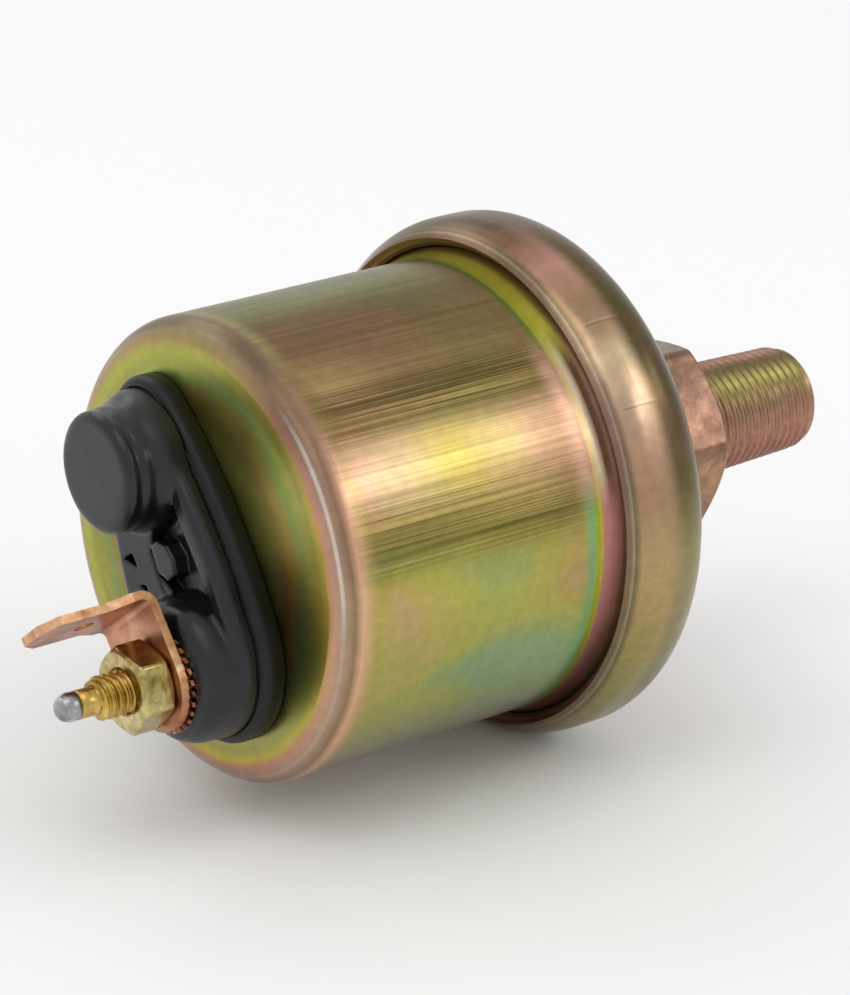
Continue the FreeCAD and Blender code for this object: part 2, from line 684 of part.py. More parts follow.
# Wiper: spring strip on the lever's tab, tapering to a rounded button
wiper = new_body("wiper_arm")
sketch = new_sketch(wiper, "wiper_outline", "XZ_Plane", "-wiper_seat")
polygon(sketch, [beside_pivot("hub_radius + wiper_gap", "wiper_width / 2"),
                 beside_pivot("tab_length", "wiper_width / 2"),
                 beside_pivot("wiper_length + contact_radius", "wiper_tip_width / 2"),
                 beside_pivot("wiper_length + contact_radius", "-wiper_tip_width / 2"),
                 beside_pivot("tab_length", "-wiper_width / 2"),
                 beside_pivot("hub_radius + wiper_gap", "-wiper_width / 2")])
padded(wiper, sketch, "wiper_thickness", "strip", back=True)
button = turned("wiper_contact", [("0", "wiper_seat + wiper_thickness"),
                                  ("contact_radius", "wiper_seat + wiper_thickness"),
                                  ("contact_radius", "wiper_seat + wiper_thickness + contact_height / 2"),
                                  ("contact_radius / 2", "wiper_seat + wiper_thickness + contact_height"),
                                  ("0", "wiper_seat + wiper_thickness + contact_height")], axis="V_Axis")
spot = beside_pivot("wiper_length", "0")
place(button, x=spot[0], z=spot[1])

# Resistor: insulating former, wound wire round it, moulded holder behind it
Y_WINDING = "winding_face"
Y_FORMER = Y_WINDING + " + winding_build"
Y_BACK = "resistor_back"
former = new_body("resistor_former")
sketch = new_sketch(former, "former_section", "XY_Plane", Z_PIVOT)
former_section = [(X_RESISTOR + " - former_width / 2", Y_FORMER),
                  (X_RESISTOR + " + former_width / 2", Y_FORMER),
                  (X_RESISTOR + " + former_width / 2", Y_BACK),
                  (X_RESISTOR + " - former_width / 2", Y_BACK)]
polygon(sketch, former_section)
padded(former, sketch, "former_length", "strip_pad", both=True)
winding = new_body("resistance_winding")
sketch = new_sketch(winding, "winding_section", "XY_Plane", Z_PIVOT)
polygon(sketch, [(X_RESISTOR + " - former_width / 2 - winding_build", Y_WINDING),
                 (X_RESISTOR + " + former_width / 2 + winding_build", Y_WINDING),
                 (X_RESISTOR + " + former_width / 2 + winding_build", Y_BACK + " + winding_build"),
                 (X_RESISTOR + " - former_width / 2 - winding_build", Y_BACK + " + winding_build")])
polygon(sketch, former_section)
padded(winding, sketch, "winding_length", "winding_pad", both=True)
holder = new_body("resistor_holder")
sketch = new_sketch(holder, "holder_section", "YZ_Plane", X_RESISTOR)
foot = "winding_length / 2 + holder_relief"
polygon(sketch, [("frame_half_width - sheet", Z_PIVOT + " - former_length / 2"),
                 ("frame_half_width - sheet", Z_PIVOT + " + former_length / 2"),
                 (Y_BACK, Z_PIVOT + " + former_length / 2"),
                 (Y_BACK, Z_PIVOT + " + " + foot),
                 (Y_BACK + " + winding_build + holder_relief", Z_PIVOT + " + " + foot),
                 (Y_BACK + " + winding_build + holder_relief", Z_PIVOT + " - (" + foot + ")"),
                 (Y_BACK, Z_PIVOT + " - (" + foot + ")"),
                 (Y_BACK, Z_PIVOT + " - former_length / 2")])
padded(holder, sketch, "holder_width", "holder_pad", both=True)
for drilled in (former, holder):
    sketch = new_sketch(drilled, drilled.Label + "_holes", "XZ_Plane")
    for side in ("+", "-"):
        circle(sketch, "resistor_rivet_radius", X_RESISTOR, Z_PIVOT + " " + side + " resistor_rivet_offset")
    padded(drilled, sketch, "2 * frame_half_width", drilled.Label + "_drilled", kind="Pocket")
resistor_rivets = []
for side in ("+", "-"):
    rivet = turned("resistor_rivet_%d" % (len(resistor_rivets) + 1), [
        ("0", Y_FORMER + " - resistor_rivet_head"),
        ("resistor_rivet_head_radius", Y_FORMER + " - resistor_rivet_head"),
        ("resistor_rivet_head_radius", Y_FORMER),
        ("resistor_rivet_radius", Y_FORMER),
        ("resistor_rivet_radius", "frame_half_width"),
        ("resistor_rivet_head_radius", "frame_half_width"),
        ("resistor_rivet_head_radius", "frame_half_width + resistor_rivet_head"),
        ("0", "frame_half_width + resistor_rivet_head")], axis="V_Axis")
    place(rivet, x=X_RESISTOR, z=Z_PIVOT + " " + side + " resistor_rivet_offset")
    resistor_rivets.append(rivet)
group("resistor_rivets", resistor_rivets)

# Terminal screw: head inside the can, hollow shank, reduced neck closed by a drop of solder.
# Inside the nut the thread is drawn at its pitch line, which the nut's bore shares.
X_HEAD = X_INSIDE + " + insulator_thickness"
X_THREAD_END = X_NUT + " - nut_height - stud_reach"
X_NECK_END = X_THREAD_END + " - neck_length"
X_FREE = X_NUT + " - nut_height - nut_runout"
stud = turned("terminal_stud", [(X_HEAD + " + stud_head", "stud_bore"),
                                (X_HEAD + " + stud_head", "stud_head_radius"),
                                (X_HEAD, "stud_head_radius"),
                                (X_HEAD, "stud_radius"),
                                (X_NUT, "stud_radius"),
                                (X_NUT, "stud_core_radius"),
                                (X_FREE, "stud_core_radius"),
                                (X_FREE, "stud_radius"),
                                (X_THREAD_END + " + neck_chamfer", "stud_radius"),
                                (X_THREAD_END, "stud_radius - neck_chamfer"),
                                (X_THREAD_END, "neck_radius"),
                                (X_NECK_END, "neck_radius"),
                                (X_NECK_END, "stud_bore")])
place(stud, y=stud_y, z=stud_z)
drop = [("(%s) - solder_reach + solder_radius * (1 - cos(%d))" % (X_NECK_END, angle),
         "solder_radius * sin(%d)" % angle) for angle in range(0, 125, 25)]
solder = turned("solder_tip", drop + [(X_NECK_END, "neck_radius"),
                                      (X_NECK_END, "0")])
place(solder, y=stud_y, z=stud_z)
insulator = turned("inner_insulator", [(X_INSIDE, "stud_radius + stud_gap"),
                                       (X_INSIDE, "insulator_radius"),
                                       (X_HEAD, "insulator_radius"),
                                       (X_HEAD, "stud_radius + stud_gap")])
place(insulator, y=stud_y, z=stud_z)

# Lead from the winding's end through the hollow screw to the solder
doc.recompute()
route = [FreeCAD.Vector(value(X_RESISTOR + " + former_width / 2 + winding_build"),
                        value(Y_FORMER + " + former_thickness / 2"),
                        value(Z_PIVOT + " - winding_length / 2 + 2 * lead_radius")),
         FreeCAD.Vector(),
         FreeCAD.Vector(),
         FreeCAD.Vector(value(X_NECK_END), value(stud_y), value(stud_z))]
route[1] = route[0] + FreeCAD.Vector(value("lead_bend + lead_radius"), 0, 0)
route[2] = FreeCAD.Vector(route[1].x, route[3].y, route[3].z)
edges = []
here = route[0]
for before, corner, after in zip(route, route[1:], route[2:]):
    inward = (before - corner).normalize()
    outward = (after - corner).normalize()
    half = inward.getAngle(outward) / 2
    reach = value("lead_bend") / math.tan(half)
    bisector = (inward + outward).normalize()
    middle = corner + bisector * (value("lead_bend") / math.sin(half) - value("lead_bend"))
    edges.append(Part.LineSegment(here, corner + inward * reach).toShape())
    edges.append(Part.Arc(corner + inward * reach, middle, corner + outward * reach).toShape())
    here = corner + outward * reach
edges.append(Part.LineSegment(here, route[-1]).toShape())
section = Part.Wire(Part.makeCircle(value("lead_radius"), route[0], X_AXIS))
lead = keep(doc.addObject("Part::Feature", "lead_wire"), "lead_wire")
lead.Shape = Part.Wire(edges).makePipeShell([section], True, False)


def egg(sketch, inset):
    """The cap's outline: a large and a small arc joined by two long tangent arcs, all inset alike."""
    low = value("outline_low_radius - (" + inset + ")")
    high = value("outline_high_radius - (" + inset + ")")
    side = value("outline_side_radius - (" + inset + ")")
    low_at = -value("outline_low_offset")
    high_at = value("outline_high_offset")
    span = high_at - low_at
    rise = ((side - low) ** 2 - (side - high) ** 2 + span ** 2) / (2 * span)
    depth = math.sqrt((side - low) ** 2 - rise ** 2)
    swing_low = math.atan2(rise, depth)
    swing_high = math.atan2(span - rise, depth)
    first = len(sketch.Geometry)
    normal = FreeCAD.Vector(0, 0, 1)

    def arc(across, up, radius, start, end):
        spot = Part.Circle(FreeCAD.Vector(across, up, 0), normal, radius)
        return sketch.addGeometry(Part.ArcOfCircle(spot, start, end))

    arc(0, low_at, low, math.pi - -swing_low, 2 * math.pi - swing_low)
    arc(-depth, low_at + rise, side, -swing_low, swing_high)
    arc(0, high_at, high, swing_high, math.pi - swing_high)
    arc(depth, low_at + rise, side, math.pi - swing_high, math.pi + swing_low)
    for i in range(4):
        sketch.addConstraint(Sketcher.Constraint("Tangent", first + i, 2, first + (i + 1) % 4, 1))
    for i, radius in enumerate(("outline_low_radius", "outline_side_radius", "outline_high_radius")):
        number = value(radius + " - (" + inset + ")")
        made = sketch.addConstraint(Sketcher.Constraint("Radius", first + i, number))
        bind(sketch, "Constraints[%d]" % made, radius + " - (" + inset + ")")
    sketch.addConstraint(Sketcher.Constraint("Equal", first + 1, first + 3))
    for i, up in ((0, "-outline_low_offset"), (2, "outline_high_offset")):
        sketch.addConstraint(Sketcher.Constraint("PointOnObject", first + i, 3, -2))
        made = sketch.addConstraint(Sketcher.Constraint("DistanceY", -1, 1, first + i, 3, value(up)))
        bind(sketch, "Constraints[%d]" % made, up)


def outlined(name):
    """Corners of an irregular outline, as sizes in the sheet."""
    return [("%s_across_%d" % (name, i), "%s_up_%d" % (name, i)) for i in range(1, len(OUTLINES[name]) + 1)]


# Gasket on the can's face
SPIGOT = "stud_radius + stud_gap + cap_spigot_wall"
gasket = new_body("cap_seal")
sketch = new_sketch(gasket, "gasket_outline", "YZ_Plane", X_FACE)
egg(sketch, "0")
circle(sketch, SPIGOT + " + spigot_gap", "0", "-pad_offset")
circle(sketch, "peg_radius + spigot_gap", "0", "boss_offset")
padded(gasket, sketch, "gasket_thickness", "gasket_pad", back=True)
place(gasket, turn="-cap_turn")

# Moulded cap: recessed tray, closed boss, stud pad, shelf, lug, two pits, spigot and peg in the can's face
cap = new_body("terminal_cap")
sketch = new_sketch(cap, "tray_outline", "YZ_Plane", X_GASKET)
egg(sketch, "cap_inset")
padded(cap, sketch, "cap_height", "tray", back=True)
soften(cap, edges_at(cap.Tip.Shape, value(X_GASKET + " - cap_height")), "cap_edge", "tray_edge", "Chamfer")
sketch = new_sketch(cap, "recess_outline", "YZ_Plane", X_GASKET + " - cap_floor")
egg(sketch, "cap_inset + cap_rim")
padded(cap, sketch, "cap_height", "recess", kind="Pocket")
for name, radius, up, height, edge in (
        ("boss_foot", "boss_radius + boss_foot", "boss_offset", "boss_foot_height", "boss_foot_slope"),
        ("boss", "boss_radius", "boss_offset", "boss_height", "boss_edge"),
        ("stud_pad", "stud_pad_radius", "-pad_offset", "stud_pad_height", "stud_pad_edge")):
    sketch = new_sketch(cap, name + "_outline", "YZ_Plane", X_GASKET)
    circle(sketch, radius, "0", up)
    padded(cap, sketch, height, name, back=True)
    kind = "Fillet" if name == "boss" else "Chamfer"
    rim = ring_edges(cap.Tip.Shape, value(X_GASKET + " - " + height), value(radius))
    soften(cap, rim, edge, name + "_edge", kind)
for name, height, corners in (
        ("shelf", "cap_height", [("-shelf_overlap", "-boss_offset / 2"),
                                 ("shelf_width", "-boss_offset / 2"),
                                 ("shelf_width", "boss_offset / 2"),
                                 ("-shelf_overlap", "boss_offset / 2")]),
        ("lug", "lug_height", outlined("lug"))):
    sketch = new_sketch(cap, name + "_outline", "YZ_Plane", X_GASKET)
    polygon(sketch, corners)
    padded(cap, sketch, height, name, back=True)
sketch = new_sketch(cap, "pits_outline", "YZ_Plane", X_GASKET + " - cap_height")
polygon(sketch, outlined("upper_pit"))
polygon(sketch, outlined("lower_pit"))
padded(cap, sketch, "pit_depth", "pits", kind="Pocket")
for name, radius, up in (("spigot_outline", SPIGOT, "-pad_offset"),
                         ("peg_outline", "peg_radius", "boss_offset")):
    sketch = new_sketch(cap, name, "YZ_Plane", X_GASKET)
    circle(sketch, radius, "0", up)
    padded(cap, sketch, "gasket_thickness + can_wall", name + "_pad")
sketch = new_sketch(cap, "stud_hole_outline", "YZ_Plane", X_INSIDE)
circle(sketch, "stud_radius + stud_gap", "0", "-pad_offset")
padded(cap, sketch, "can_wall + gasket_thickness + 2 * stud_pad_height", "stud_hole", kind="Pocket")
place(cap, turn="-cap_turn")

# External-tooth lock washer
washer = new_body("tooth_washer")
sketch = new_sketch(washer, "washer_outline", "YZ_Plane", X_PAD)
circle(sketch, "tooth_radius")
circle(sketch, "stud_radius + washer_gap")
padded(washer, sketch, "tooth_thickness", "washer_pad", back=True)
sketch = new_sketch(washer, "notch_outline", "YZ_Plane", X_PAD)
NOTCH_HALF = "(tooth_radius + notch_overshoot) * sin(180 / tooth_count) * notch_share"
polygon(sketch, [("tooth_root", "0"),
                 ("tooth_radius + notch_overshoot", "-" + NOTCH_HALF),
                 ("tooth_radius + notch_overshoot", NOTCH_HALF)])
notch = padded(washer, sketch, "2 * tooth_thickness", "notch", kind="Pocket", both=True)
ring = washer.newObject("PartDesign::PolarPattern", "notches")
ring.Originals = [notch]
ring.Axis = (sketch, ["N_Axis"])
ring.Angle = 360
bind(ring, "Occurrences", "tooth_count")
washer.Tip = ring
doc.recompute()
place(washer, y=stud_y, z=stud_z, turn="-cap_turn")

# Blade terminal: eye on the stud, one bend, blade with a detent hole
blade = new_body("blade_terminal")
sketch = new_sketch(blade, "leg_outline", "YZ_Plane", X_STRIP)
polygon(sketch, [("-eye_radius", "0"),
                 ("eye_radius", "0"),
                 ("eye_radius", "blade_offset"),
                 ("-eye_radius", "blade_offset")])
padded(blade, sketch, "strip_thickness", "leg", back=True)
sketch = new_sketch(blade, "eye_outline", "YZ_Plane", X_STRIP)
circle(sketch, "eye_radius")
padded(blade, sketch, "strip_thickness", "eye", back=True)
sketch = new_sketch(blade, "blade_outline", "XY_Plane", "blade_offset - strip_thickness")
polygon(sketch, [(X_STRIP, "-eye_radius"),
                 (X_NUT + " - blade_root", "-eye_radius"),
                 (X_NUT + " - blade_shoulder", "-blade_width / 2"),
                 (X_NUT + " - blade_length + blade_tip", "-blade_width / 2"),
                 (X_NUT + " - blade_length", "-blade_width / 2 + blade_tip"),
                 (X_NUT + " - blade_length", "blade_width / 2 - blade_tip"),
                 (X_NUT + " - blade_length + blade_tip", "blade_width / 2"),
                 (X_NUT + " - blade_shoulder", "blade_width / 2"),
                 (X_NUT + " - blade_root", "eye_radius"),
                 (X_STRIP, "eye_radius")])
circle(sketch, "detent_radius", X_NUT + " - blade_length + detent_offset", "0")
padded(blade, sketch, "strip_thickness", "blade")


def bend_edges(shape, station, height):
    """Names of the straight edges across the strip at a station and a height."""
    found = []
    for number, edge in enumerate(shape.Edges, start=1):
        ends = [vertex.Point for vertex in edge.Vertexes]
        if len(ends) == 2 and all(abs(p.x - station) < 1e-4 and abs(p.z - height) < 1e-4 for p in ends):
            found.append("Edge%d" % number)
    return found


for name, station, height, radius in (
        ("bend_outside", X_STRIP, "blade_offset", "bend_radius + strip_thickness"),
        ("bend_inside", X_NUT, "blade_offset - strip_thickness", "bend_radius")):
    base = blade.Tip
    bend = blade.newObject("PartDesign::Fillet", name)
    bend.Base = (base, bend_edges(base.Shape, value(station), value(height)))
    bind(bend, "Radius", radius)
    doc.recompute()
sketch = new_sketch(blade, "eye_hole_outline", "YZ_Plane", X_STRIP)
circle(sketch, "stud_radius + washer_gap")
padded(blade, sketch, "strip_thickness", "eye_hole", kind="Pocket")
place(blade, y=stud_y, z=stud_z, turn="-(cap_turn + blade_turn)")

# Terminal nut, chamfered on both sides
nut = new_body("terminal_nut")
sketch = new_sketch(nut, "nut_outline", "YZ_Plane", X_NUT)
polygon(sketch, [("nut_across_flats / sqrt(3) * cos(nut_turn + %d)" % (60 * i),
                  "nut_across_flats / sqrt(3) * sin(nut_turn + %d)" % (60 * i)) for i in range(6)])
circle(sketch, "stud_core_radius")
padded(nut, sketch, "nut_height", "nut_pad", back=True)
for name, station, way in (("front_cut", X_NUT + " - nut_height", "+"), ("back_cut", X_NUT, "-")):
    sketch = new_sketch(nut, name)
    slope = "nut_across_flats * (1 - nut_face_share / 2) * tan(hex_chamfer_angle)"
    polygon(sketch, [(station, "nut_across_flats * nut_face_share / 2"),
                     (station, "nut_across_flats"),
                     (station + " " + way + " " + slope, "nut_across_flats")])
    cut = nut.newObject("PartDesign::Groove", name + "_groove")
    cut.Profile = sketch
    cut.ReferenceAxis = (sketch, ["H_Axis"])
    cut.Angle = 360
    doc.recompute()
place(nut, y=stud_y, z=stud_z, turn="-cap_turn")

# Every object must have been computed, and every part must be a sound solid, before anything is written
doc.recompute()
for item in doc.Objects:
    if "Invalid" in item.State or "Error" in item.State:
        raise RuntimeError(item.Name + " could not be computed")
for item in parts:
    if item.Shape.isNull() or not item.Shape.isValid():
        raise RuntimeError(item.Label + " has no valid shape")
for item in parts:
    item.Shape.exportStep("parts/" + item.Label + ".step")
    print(item.Label, len(item.Shape.Solids), round(item.Shape.Volume, 2))
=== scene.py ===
"""Looks of the oil pressure sender: studio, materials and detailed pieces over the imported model."""
import json
import math

import bmesh
import bpy
import numpy as np
import openvdb
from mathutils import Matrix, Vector, noise

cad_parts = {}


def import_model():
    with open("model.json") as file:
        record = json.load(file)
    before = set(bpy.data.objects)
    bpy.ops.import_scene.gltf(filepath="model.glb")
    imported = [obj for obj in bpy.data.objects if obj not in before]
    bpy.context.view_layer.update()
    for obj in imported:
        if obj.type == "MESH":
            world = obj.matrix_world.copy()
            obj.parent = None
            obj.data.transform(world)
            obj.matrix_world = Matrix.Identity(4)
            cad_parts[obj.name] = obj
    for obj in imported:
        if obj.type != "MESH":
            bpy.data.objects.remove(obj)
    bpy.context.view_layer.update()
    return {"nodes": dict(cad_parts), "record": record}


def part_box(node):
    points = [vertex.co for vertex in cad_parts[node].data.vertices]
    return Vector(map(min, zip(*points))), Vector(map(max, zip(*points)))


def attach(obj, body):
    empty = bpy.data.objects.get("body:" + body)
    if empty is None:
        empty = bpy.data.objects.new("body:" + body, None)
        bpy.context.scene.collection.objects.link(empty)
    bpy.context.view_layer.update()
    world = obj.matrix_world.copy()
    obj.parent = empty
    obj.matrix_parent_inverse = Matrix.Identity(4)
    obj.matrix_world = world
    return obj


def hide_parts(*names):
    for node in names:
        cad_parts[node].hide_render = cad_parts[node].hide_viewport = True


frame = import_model()

MM = 0.001
# Turn of the cap about the axis, and how far its stud and its boss stand from the axis
CAP_TURN = math.radians(28.0)
STUD_OFFSET = 9.5
BOSS_OFFSET = 9.2
# Places along the axis in millimetres, and the can's radius
X_FACE = -54.0
X_WASHER = -61.35
X_NUT = -62.4
X_NECK_END = -70.4
CAN_RADIUS = 21.1
# Slope of the bevels on both hexagons
BEVEL = math.tan(math.radians(30.0))


# Mesh helpers
def piece(name, verts, faces, material, node, slot, body="housing", smooth=True):
    """Adds a mesh, given in millimetres, as a piece that stands for one CAD node."""
    mesh = bpy.data.meshes.new(name)
    mesh.from_pydata([tuple(c * MM for c in v) for v in verts], [], faces)
    obj = bpy.data.objects.new(name, mesh)
    bpy.context.scene.collection.objects.link(obj)
    work = bmesh.new()
    work.from_mesh(mesh)
    bmesh.ops.recalc_face_normals(work, faces=work.faces)
    work.to_mesh(mesh)
    work.free()
    mesh.materials.append(material)
    if smooth:
        mesh.shade_smooth()
    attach(obj, body)
    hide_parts(node)


def rings_mesh(rings, closed):
    """Vertices and faces of rings of points joined one to the next; a ring of one point is a pole."""
    verts, starts = [], []
    for ring in rings:
        starts.append(len(verts))
        verts += ring
    faces = []
    pairs = list(zip(range(len(rings)), range(1, len(rings))))
    if closed:
        pairs.append((len(rings) - 1, 0))
    for a, b in pairs:
        na, nb = len(rings[a]), len(rings[b])
        for i in range(max(na, nb)):
            j = (i + 1) % max(na, nb)
            if na == 1:
                faces.append((starts[a], starts[b] + i, starts[b] + j))
            elif nb == 1:
                faces.append((starts[a] + i, starts[b], starts[a] + j))
            else:
                faces.append((starts[a] + i, starts[b] + i, starts[b] + j, starts[a] + j))
    return verts, faces


def rounded(corners, steps=5):
    """An outline's points. A corner with a third number is rounded to that radius."""
    points = []
    for i, corner in enumerate(corners):
        spot = Vector(corner[:2])
        if len(corner) < 3:
            points.append(spot)
            continue
        before = (Vector(corners[i - 1][:2]) - spot).normalized()
        after = (Vector(corners[(i + 1) % len(corners)][:2]) - spot).normalized()
        half = before.angle(after) / 2
        reach = corner[2] / math.tan(half)
        centre = spot + (before + after).normalized() * (corner[2] / math.sin(half))
        first = spot + before * reach - centre
        turn = math.pi - 2 * half
        if first.cross(spot + after * reach - centre) < 0:
            turn = -turn
        for k in range(steps + 1):
            a = turn * k / steps
            points.append(centre + Vector((first.x * math.cos(a) - first.y * math.sin(a),
                                           first.x * math.sin(a) + first.y * math.cos(a))))
    return points


def ring_at(x, radius, steps):
    """Points round the X axis. The place and the radius are numbers or functions of the angle."""
    found = []
    for i in range(steps):
        a = 2 * math.pi * i / steps
        r = radius(a) if callable(radius) else radius
        found.append((x(a) if callable(x) else x, r * math.cos(a), r * math.sin(a)))
    return found


def hexagon(across, turn, sharp=70):
    """Radius of a hexagon with slightly rounded corners, as a function of the angle."""
    flats = [turn + math.pi / 6 + k * math.pi / 3 for k in range(6)]

    def radius(a):
        total = sum(max(0.0, math.cos(a - flat)) ** sharp for flat in flats)
        return across / 2 / total ** (1 / sharp)
    return radius


def thread_wave(phase, flat=0.14):
    """Height from 0 at the root to 1 at the crest over one pitch."""
    t = abs(2 * (phase - math.floor(phase)) - 1)
    t = min(1.0, max(0.0, (t - flat) / (1 - 2 * flat)))
    return t * t * (3 - 2 * t) * 0.35 + t * 0.65


# Materials
class Paint:
    """A material's nodes, made one call at a time."""

    def __init__(self, name, metallic=0.0, roughness=0.5, specular=0.5):
        self.material = bpy.data.materials.new(name)
        self.material.use_nodes = True
        self.tree = self.material.node_tree
        self.tree.nodes.clear()
        self.shader = self.add("ShaderNodeBsdfPrincipled")
        self.shader.inputs["Metallic"].default_value = metallic
        self.shader.inputs["Roughness"].default_value = roughness
        self.shader.inputs["Specular IOR Level"].default_value = specular
        output = self.add("ShaderNodeOutputMaterial")
        self.join(self.shader.outputs[0], output.inputs[0])
        self.place = self.add("ShaderNodeTexCoord").outputs["Object"]
        split = self.add("ShaderNodeSeparateXYZ")
        self.join(self.place, split.inputs[0])
        self.x, self.y, self.z = split.outputs

    def add(self, kind):
        return self.tree.nodes.new(kind)

    def join(self, source, target):
        """Gives a socket a number, a colour or the output of another node."""
        if isinstance(source, (int, float, tuple)):
            target.default_value = source
        else:
            self.tree.links.new(source, target)

    def math(self, kind, *values):
        made = self.add("ShaderNodeMath")
        made.operation = kind
        for value, socket in zip(values, made.inputs):
            self.join(value, socket)
        return made.outputs[0]

    def plus(self, first, second):
        return self.math("ADD", first, second)

    def minus(self, first, second):
        return self.math("SUBTRACT", first, second)

    def times(self, *values):
        """The product of two or more values."""
        product = values[0]
        for value in values[1:]:
            product = self.math("MULTIPLY", product, value)
        return product

    def span(self, value, low, high, to_low=0.0, to_high=1.0, smooth=True):
        """A value that goes from low to high, spread from to_low to to_high and held beyond."""
        made = self.add("ShaderNodeMapRange")
        made.interpolation_type = "SMOOTHSTEP" if smooth else "LINEAR"
        for socket, number in zip(made.inputs[:5], (value, low, high, to_low, to_high)):
            self.join(number, socket)
        return made.outputs[0]

    def arc(self, turn, low, high, to_low=0.0, to_high=1.0):
        """The same for a share of the turn, between two angles in degrees."""
        return self.span(turn, degrees(low), degrees(high), to_low, to_high)

    def stretch(self, *scale):
        made = self.add("ShaderNodeMapping")
        self.join(self.place, made.inputs["Vector"])
        made.inputs["Scale"].default_value = scale
        return made.outputs[0]

    def noise(self, scale, detail=3.0, rough=0.55, vector=None, warp=0.0):
        made = self.add("ShaderNodeTexNoise")
        self.join(vector or self.place, made.inputs["Vector"])
        made.inputs["Scale"].default_value = scale
        made.inputs["Detail"].default_value = detail
        made.inputs["Roughness"].default_value = rough
        made.inputs["Distortion"].default_value = warp
        return made.outputs[0]

    def uneven(self, scale, detail, rough, low, high, cut=0.3):
        """Noise as values from low to high; the share below the cut and above its mirror is held."""
        return self.span(self.noise(scale, detail, rough), cut, 1 - cut, low, high)

    def ramp(self, value, stops, smooth=True):
        """Colours over a value from 0 to 1, each stop its place and a colour as 0 to 255."""
        made = self.add("ShaderNodeValToRGB")
        made.color_ramp.interpolation = "EASE" if smooth else "LINEAR"
        points = made.color_ramp.elements
        while len(points) < len(stops):
            points.new(0.5)
        ordered = sorted(stops)
        for point, stop in zip(points, ordered):
            point.position = stop[0]
        for point, stop in zip(points, ordered):
            point.color = srgb(*stop[1])
        self.join(value, made.inputs[0])
        return made.outputs[0]

    def ring_ramp(self, turn, stops, smooth=True):
        """A ramp over a share of the turn, its stops placed by angles in degrees."""
        return self.ramp(turn, [(degrees(angle), colour) for angle, colour in stops], smooth)

    def mix(self, share, first, second, blend="MIX"):
        made = self.add("ShaderNodeMix")
        made.data_type = "RGBA"
        made.blend_type = blend
        # for colours the node takes inputs 6 and 7, and gives output 2
        self.join(share, made.inputs["Factor"])
        self.join(first, made.inputs[6])
        self.join(second, made.inputs[7])
        return made.outputs[2]

    def shade(self, colour, amount):
        """The colour made lighter or darker by an amount near 1."""
        return self.mix(1.0, colour, amount, "MULTIPLY")

    def bump(self, height, distance, strength):
        """Adds a height, in metres at strength 1, on top of the bumps already there."""
        made = self.add("ShaderNodeBump")
        made.inputs["Strength"].default_value = strength
        made.inputs["Distance"].default_value = distance
        self.join(height, made.inputs["Height"])
        links = self.shader.inputs["Normal"].links
        if links:
            self.join(links[0].from_socket, made.inputs["Normal"])
        self.join(made.outputs[0], self.shader.inputs["Normal"])

    def x_mm(self):
        return self.times(self.x, 1 / MM)

    def radius_mm(self):
        """Distance from the X axis in millimetres."""
        square = self.plus(self.times(self.y, self.y), self.times(self.z, self.z))
        return self.times(self.math("SQRT", square), 1 / MM)

    def finish(self, colour, roughness):
        self.join(colour, self.shader.inputs["Base Color"])
        self.join(roughness, self.shader.inputs["Roughness"])
        return self.material


def srgb(*colour):
    """A colour read off as 0 to 255, as the renderer's linear light."""
    linear = [c / 255 / 12.92 if c < 10.3 else ((c / 255 + 0.055) / 1.055) ** 2.4 for c in colour]
    return (*linear, 1.0)


def turn_share(paint):
    """0 to 1 round the X axis, 0.5 at the top, growing towards -Y."""
    angle = paint.math("ARCTAN2", paint.times(paint.y, -1.0), paint.z)
    return paint.plus(paint.math("DIVIDE", angle, 2 * math.pi), 0.5)


def degrees(angle):
    """An angle from the top as a share of the turn."""
    return angle / 360 + 0.5


def can_bands(paint, turn, x_mm):
    """Bands that run along the can, the finish's tones with painted light in them: a painted highlight that
    turns from pink through yellow to pink, and painted dark reflections.
    """
    # painted highlight at 53 to 67 degrees and painted dark reflections at 9 to 20, 40 and 76 degrees
    bands = paint.ring_ramp(turn, [
        (-180, (140, 122, 100)), (-140, (120, 114, 84)), (-90, (142, 144, 80)), (-50, (158, 140, 88)),
        (-20, (124, 118, 82)), (-3, (124, 126, 78)), (9, (98, 88, 44)), (20, (106, 86, 50)),
        (31, (144, 120, 82)), (40, (116, 98, 58)), (46, (150, 128, 82)), (53, (206, 178, 134)),
        (60, (196, 170, 122)), (67, (172, 146, 94)), (76, (124, 110, 58)), (88, (168, 162, 92)),
        (106, (164, 166, 100)), (124, (160, 166, 108)), (140, (156, 154, 134)), (160, (140, 122, 100))],
        smooth=False)
    # painted highlight from 44 to 71 degrees, tinted pink, yellow and pink along the can
    painted_highlight = paint.times(paint.arc(turn, 44, 54), paint.arc(turn, 71, 61))
    tint = paint.ramp(paint.span(x_mm, -52.0, -25.0, smooth=False), [
        (0.0, (206, 160, 142)), (0.22, (212, 182, 144)), (0.46, (208, 188, 92)), (0.64, (206, 174, 120)),
        (0.82, (226, 168, 150)), (1.0, (232, 172, 156))])
    colour = paint.mix(paint.times(painted_highlight, 0.7), bands, tint)
    left = paint.times(paint.arc(turn, 23, 30), paint.arc(turn, 41, 33),
                       paint.span(x_mm, -40.0, -49.0, 0.0, 0.6))
    return paint.mix(left, colour, srgb(196, 160, 108))


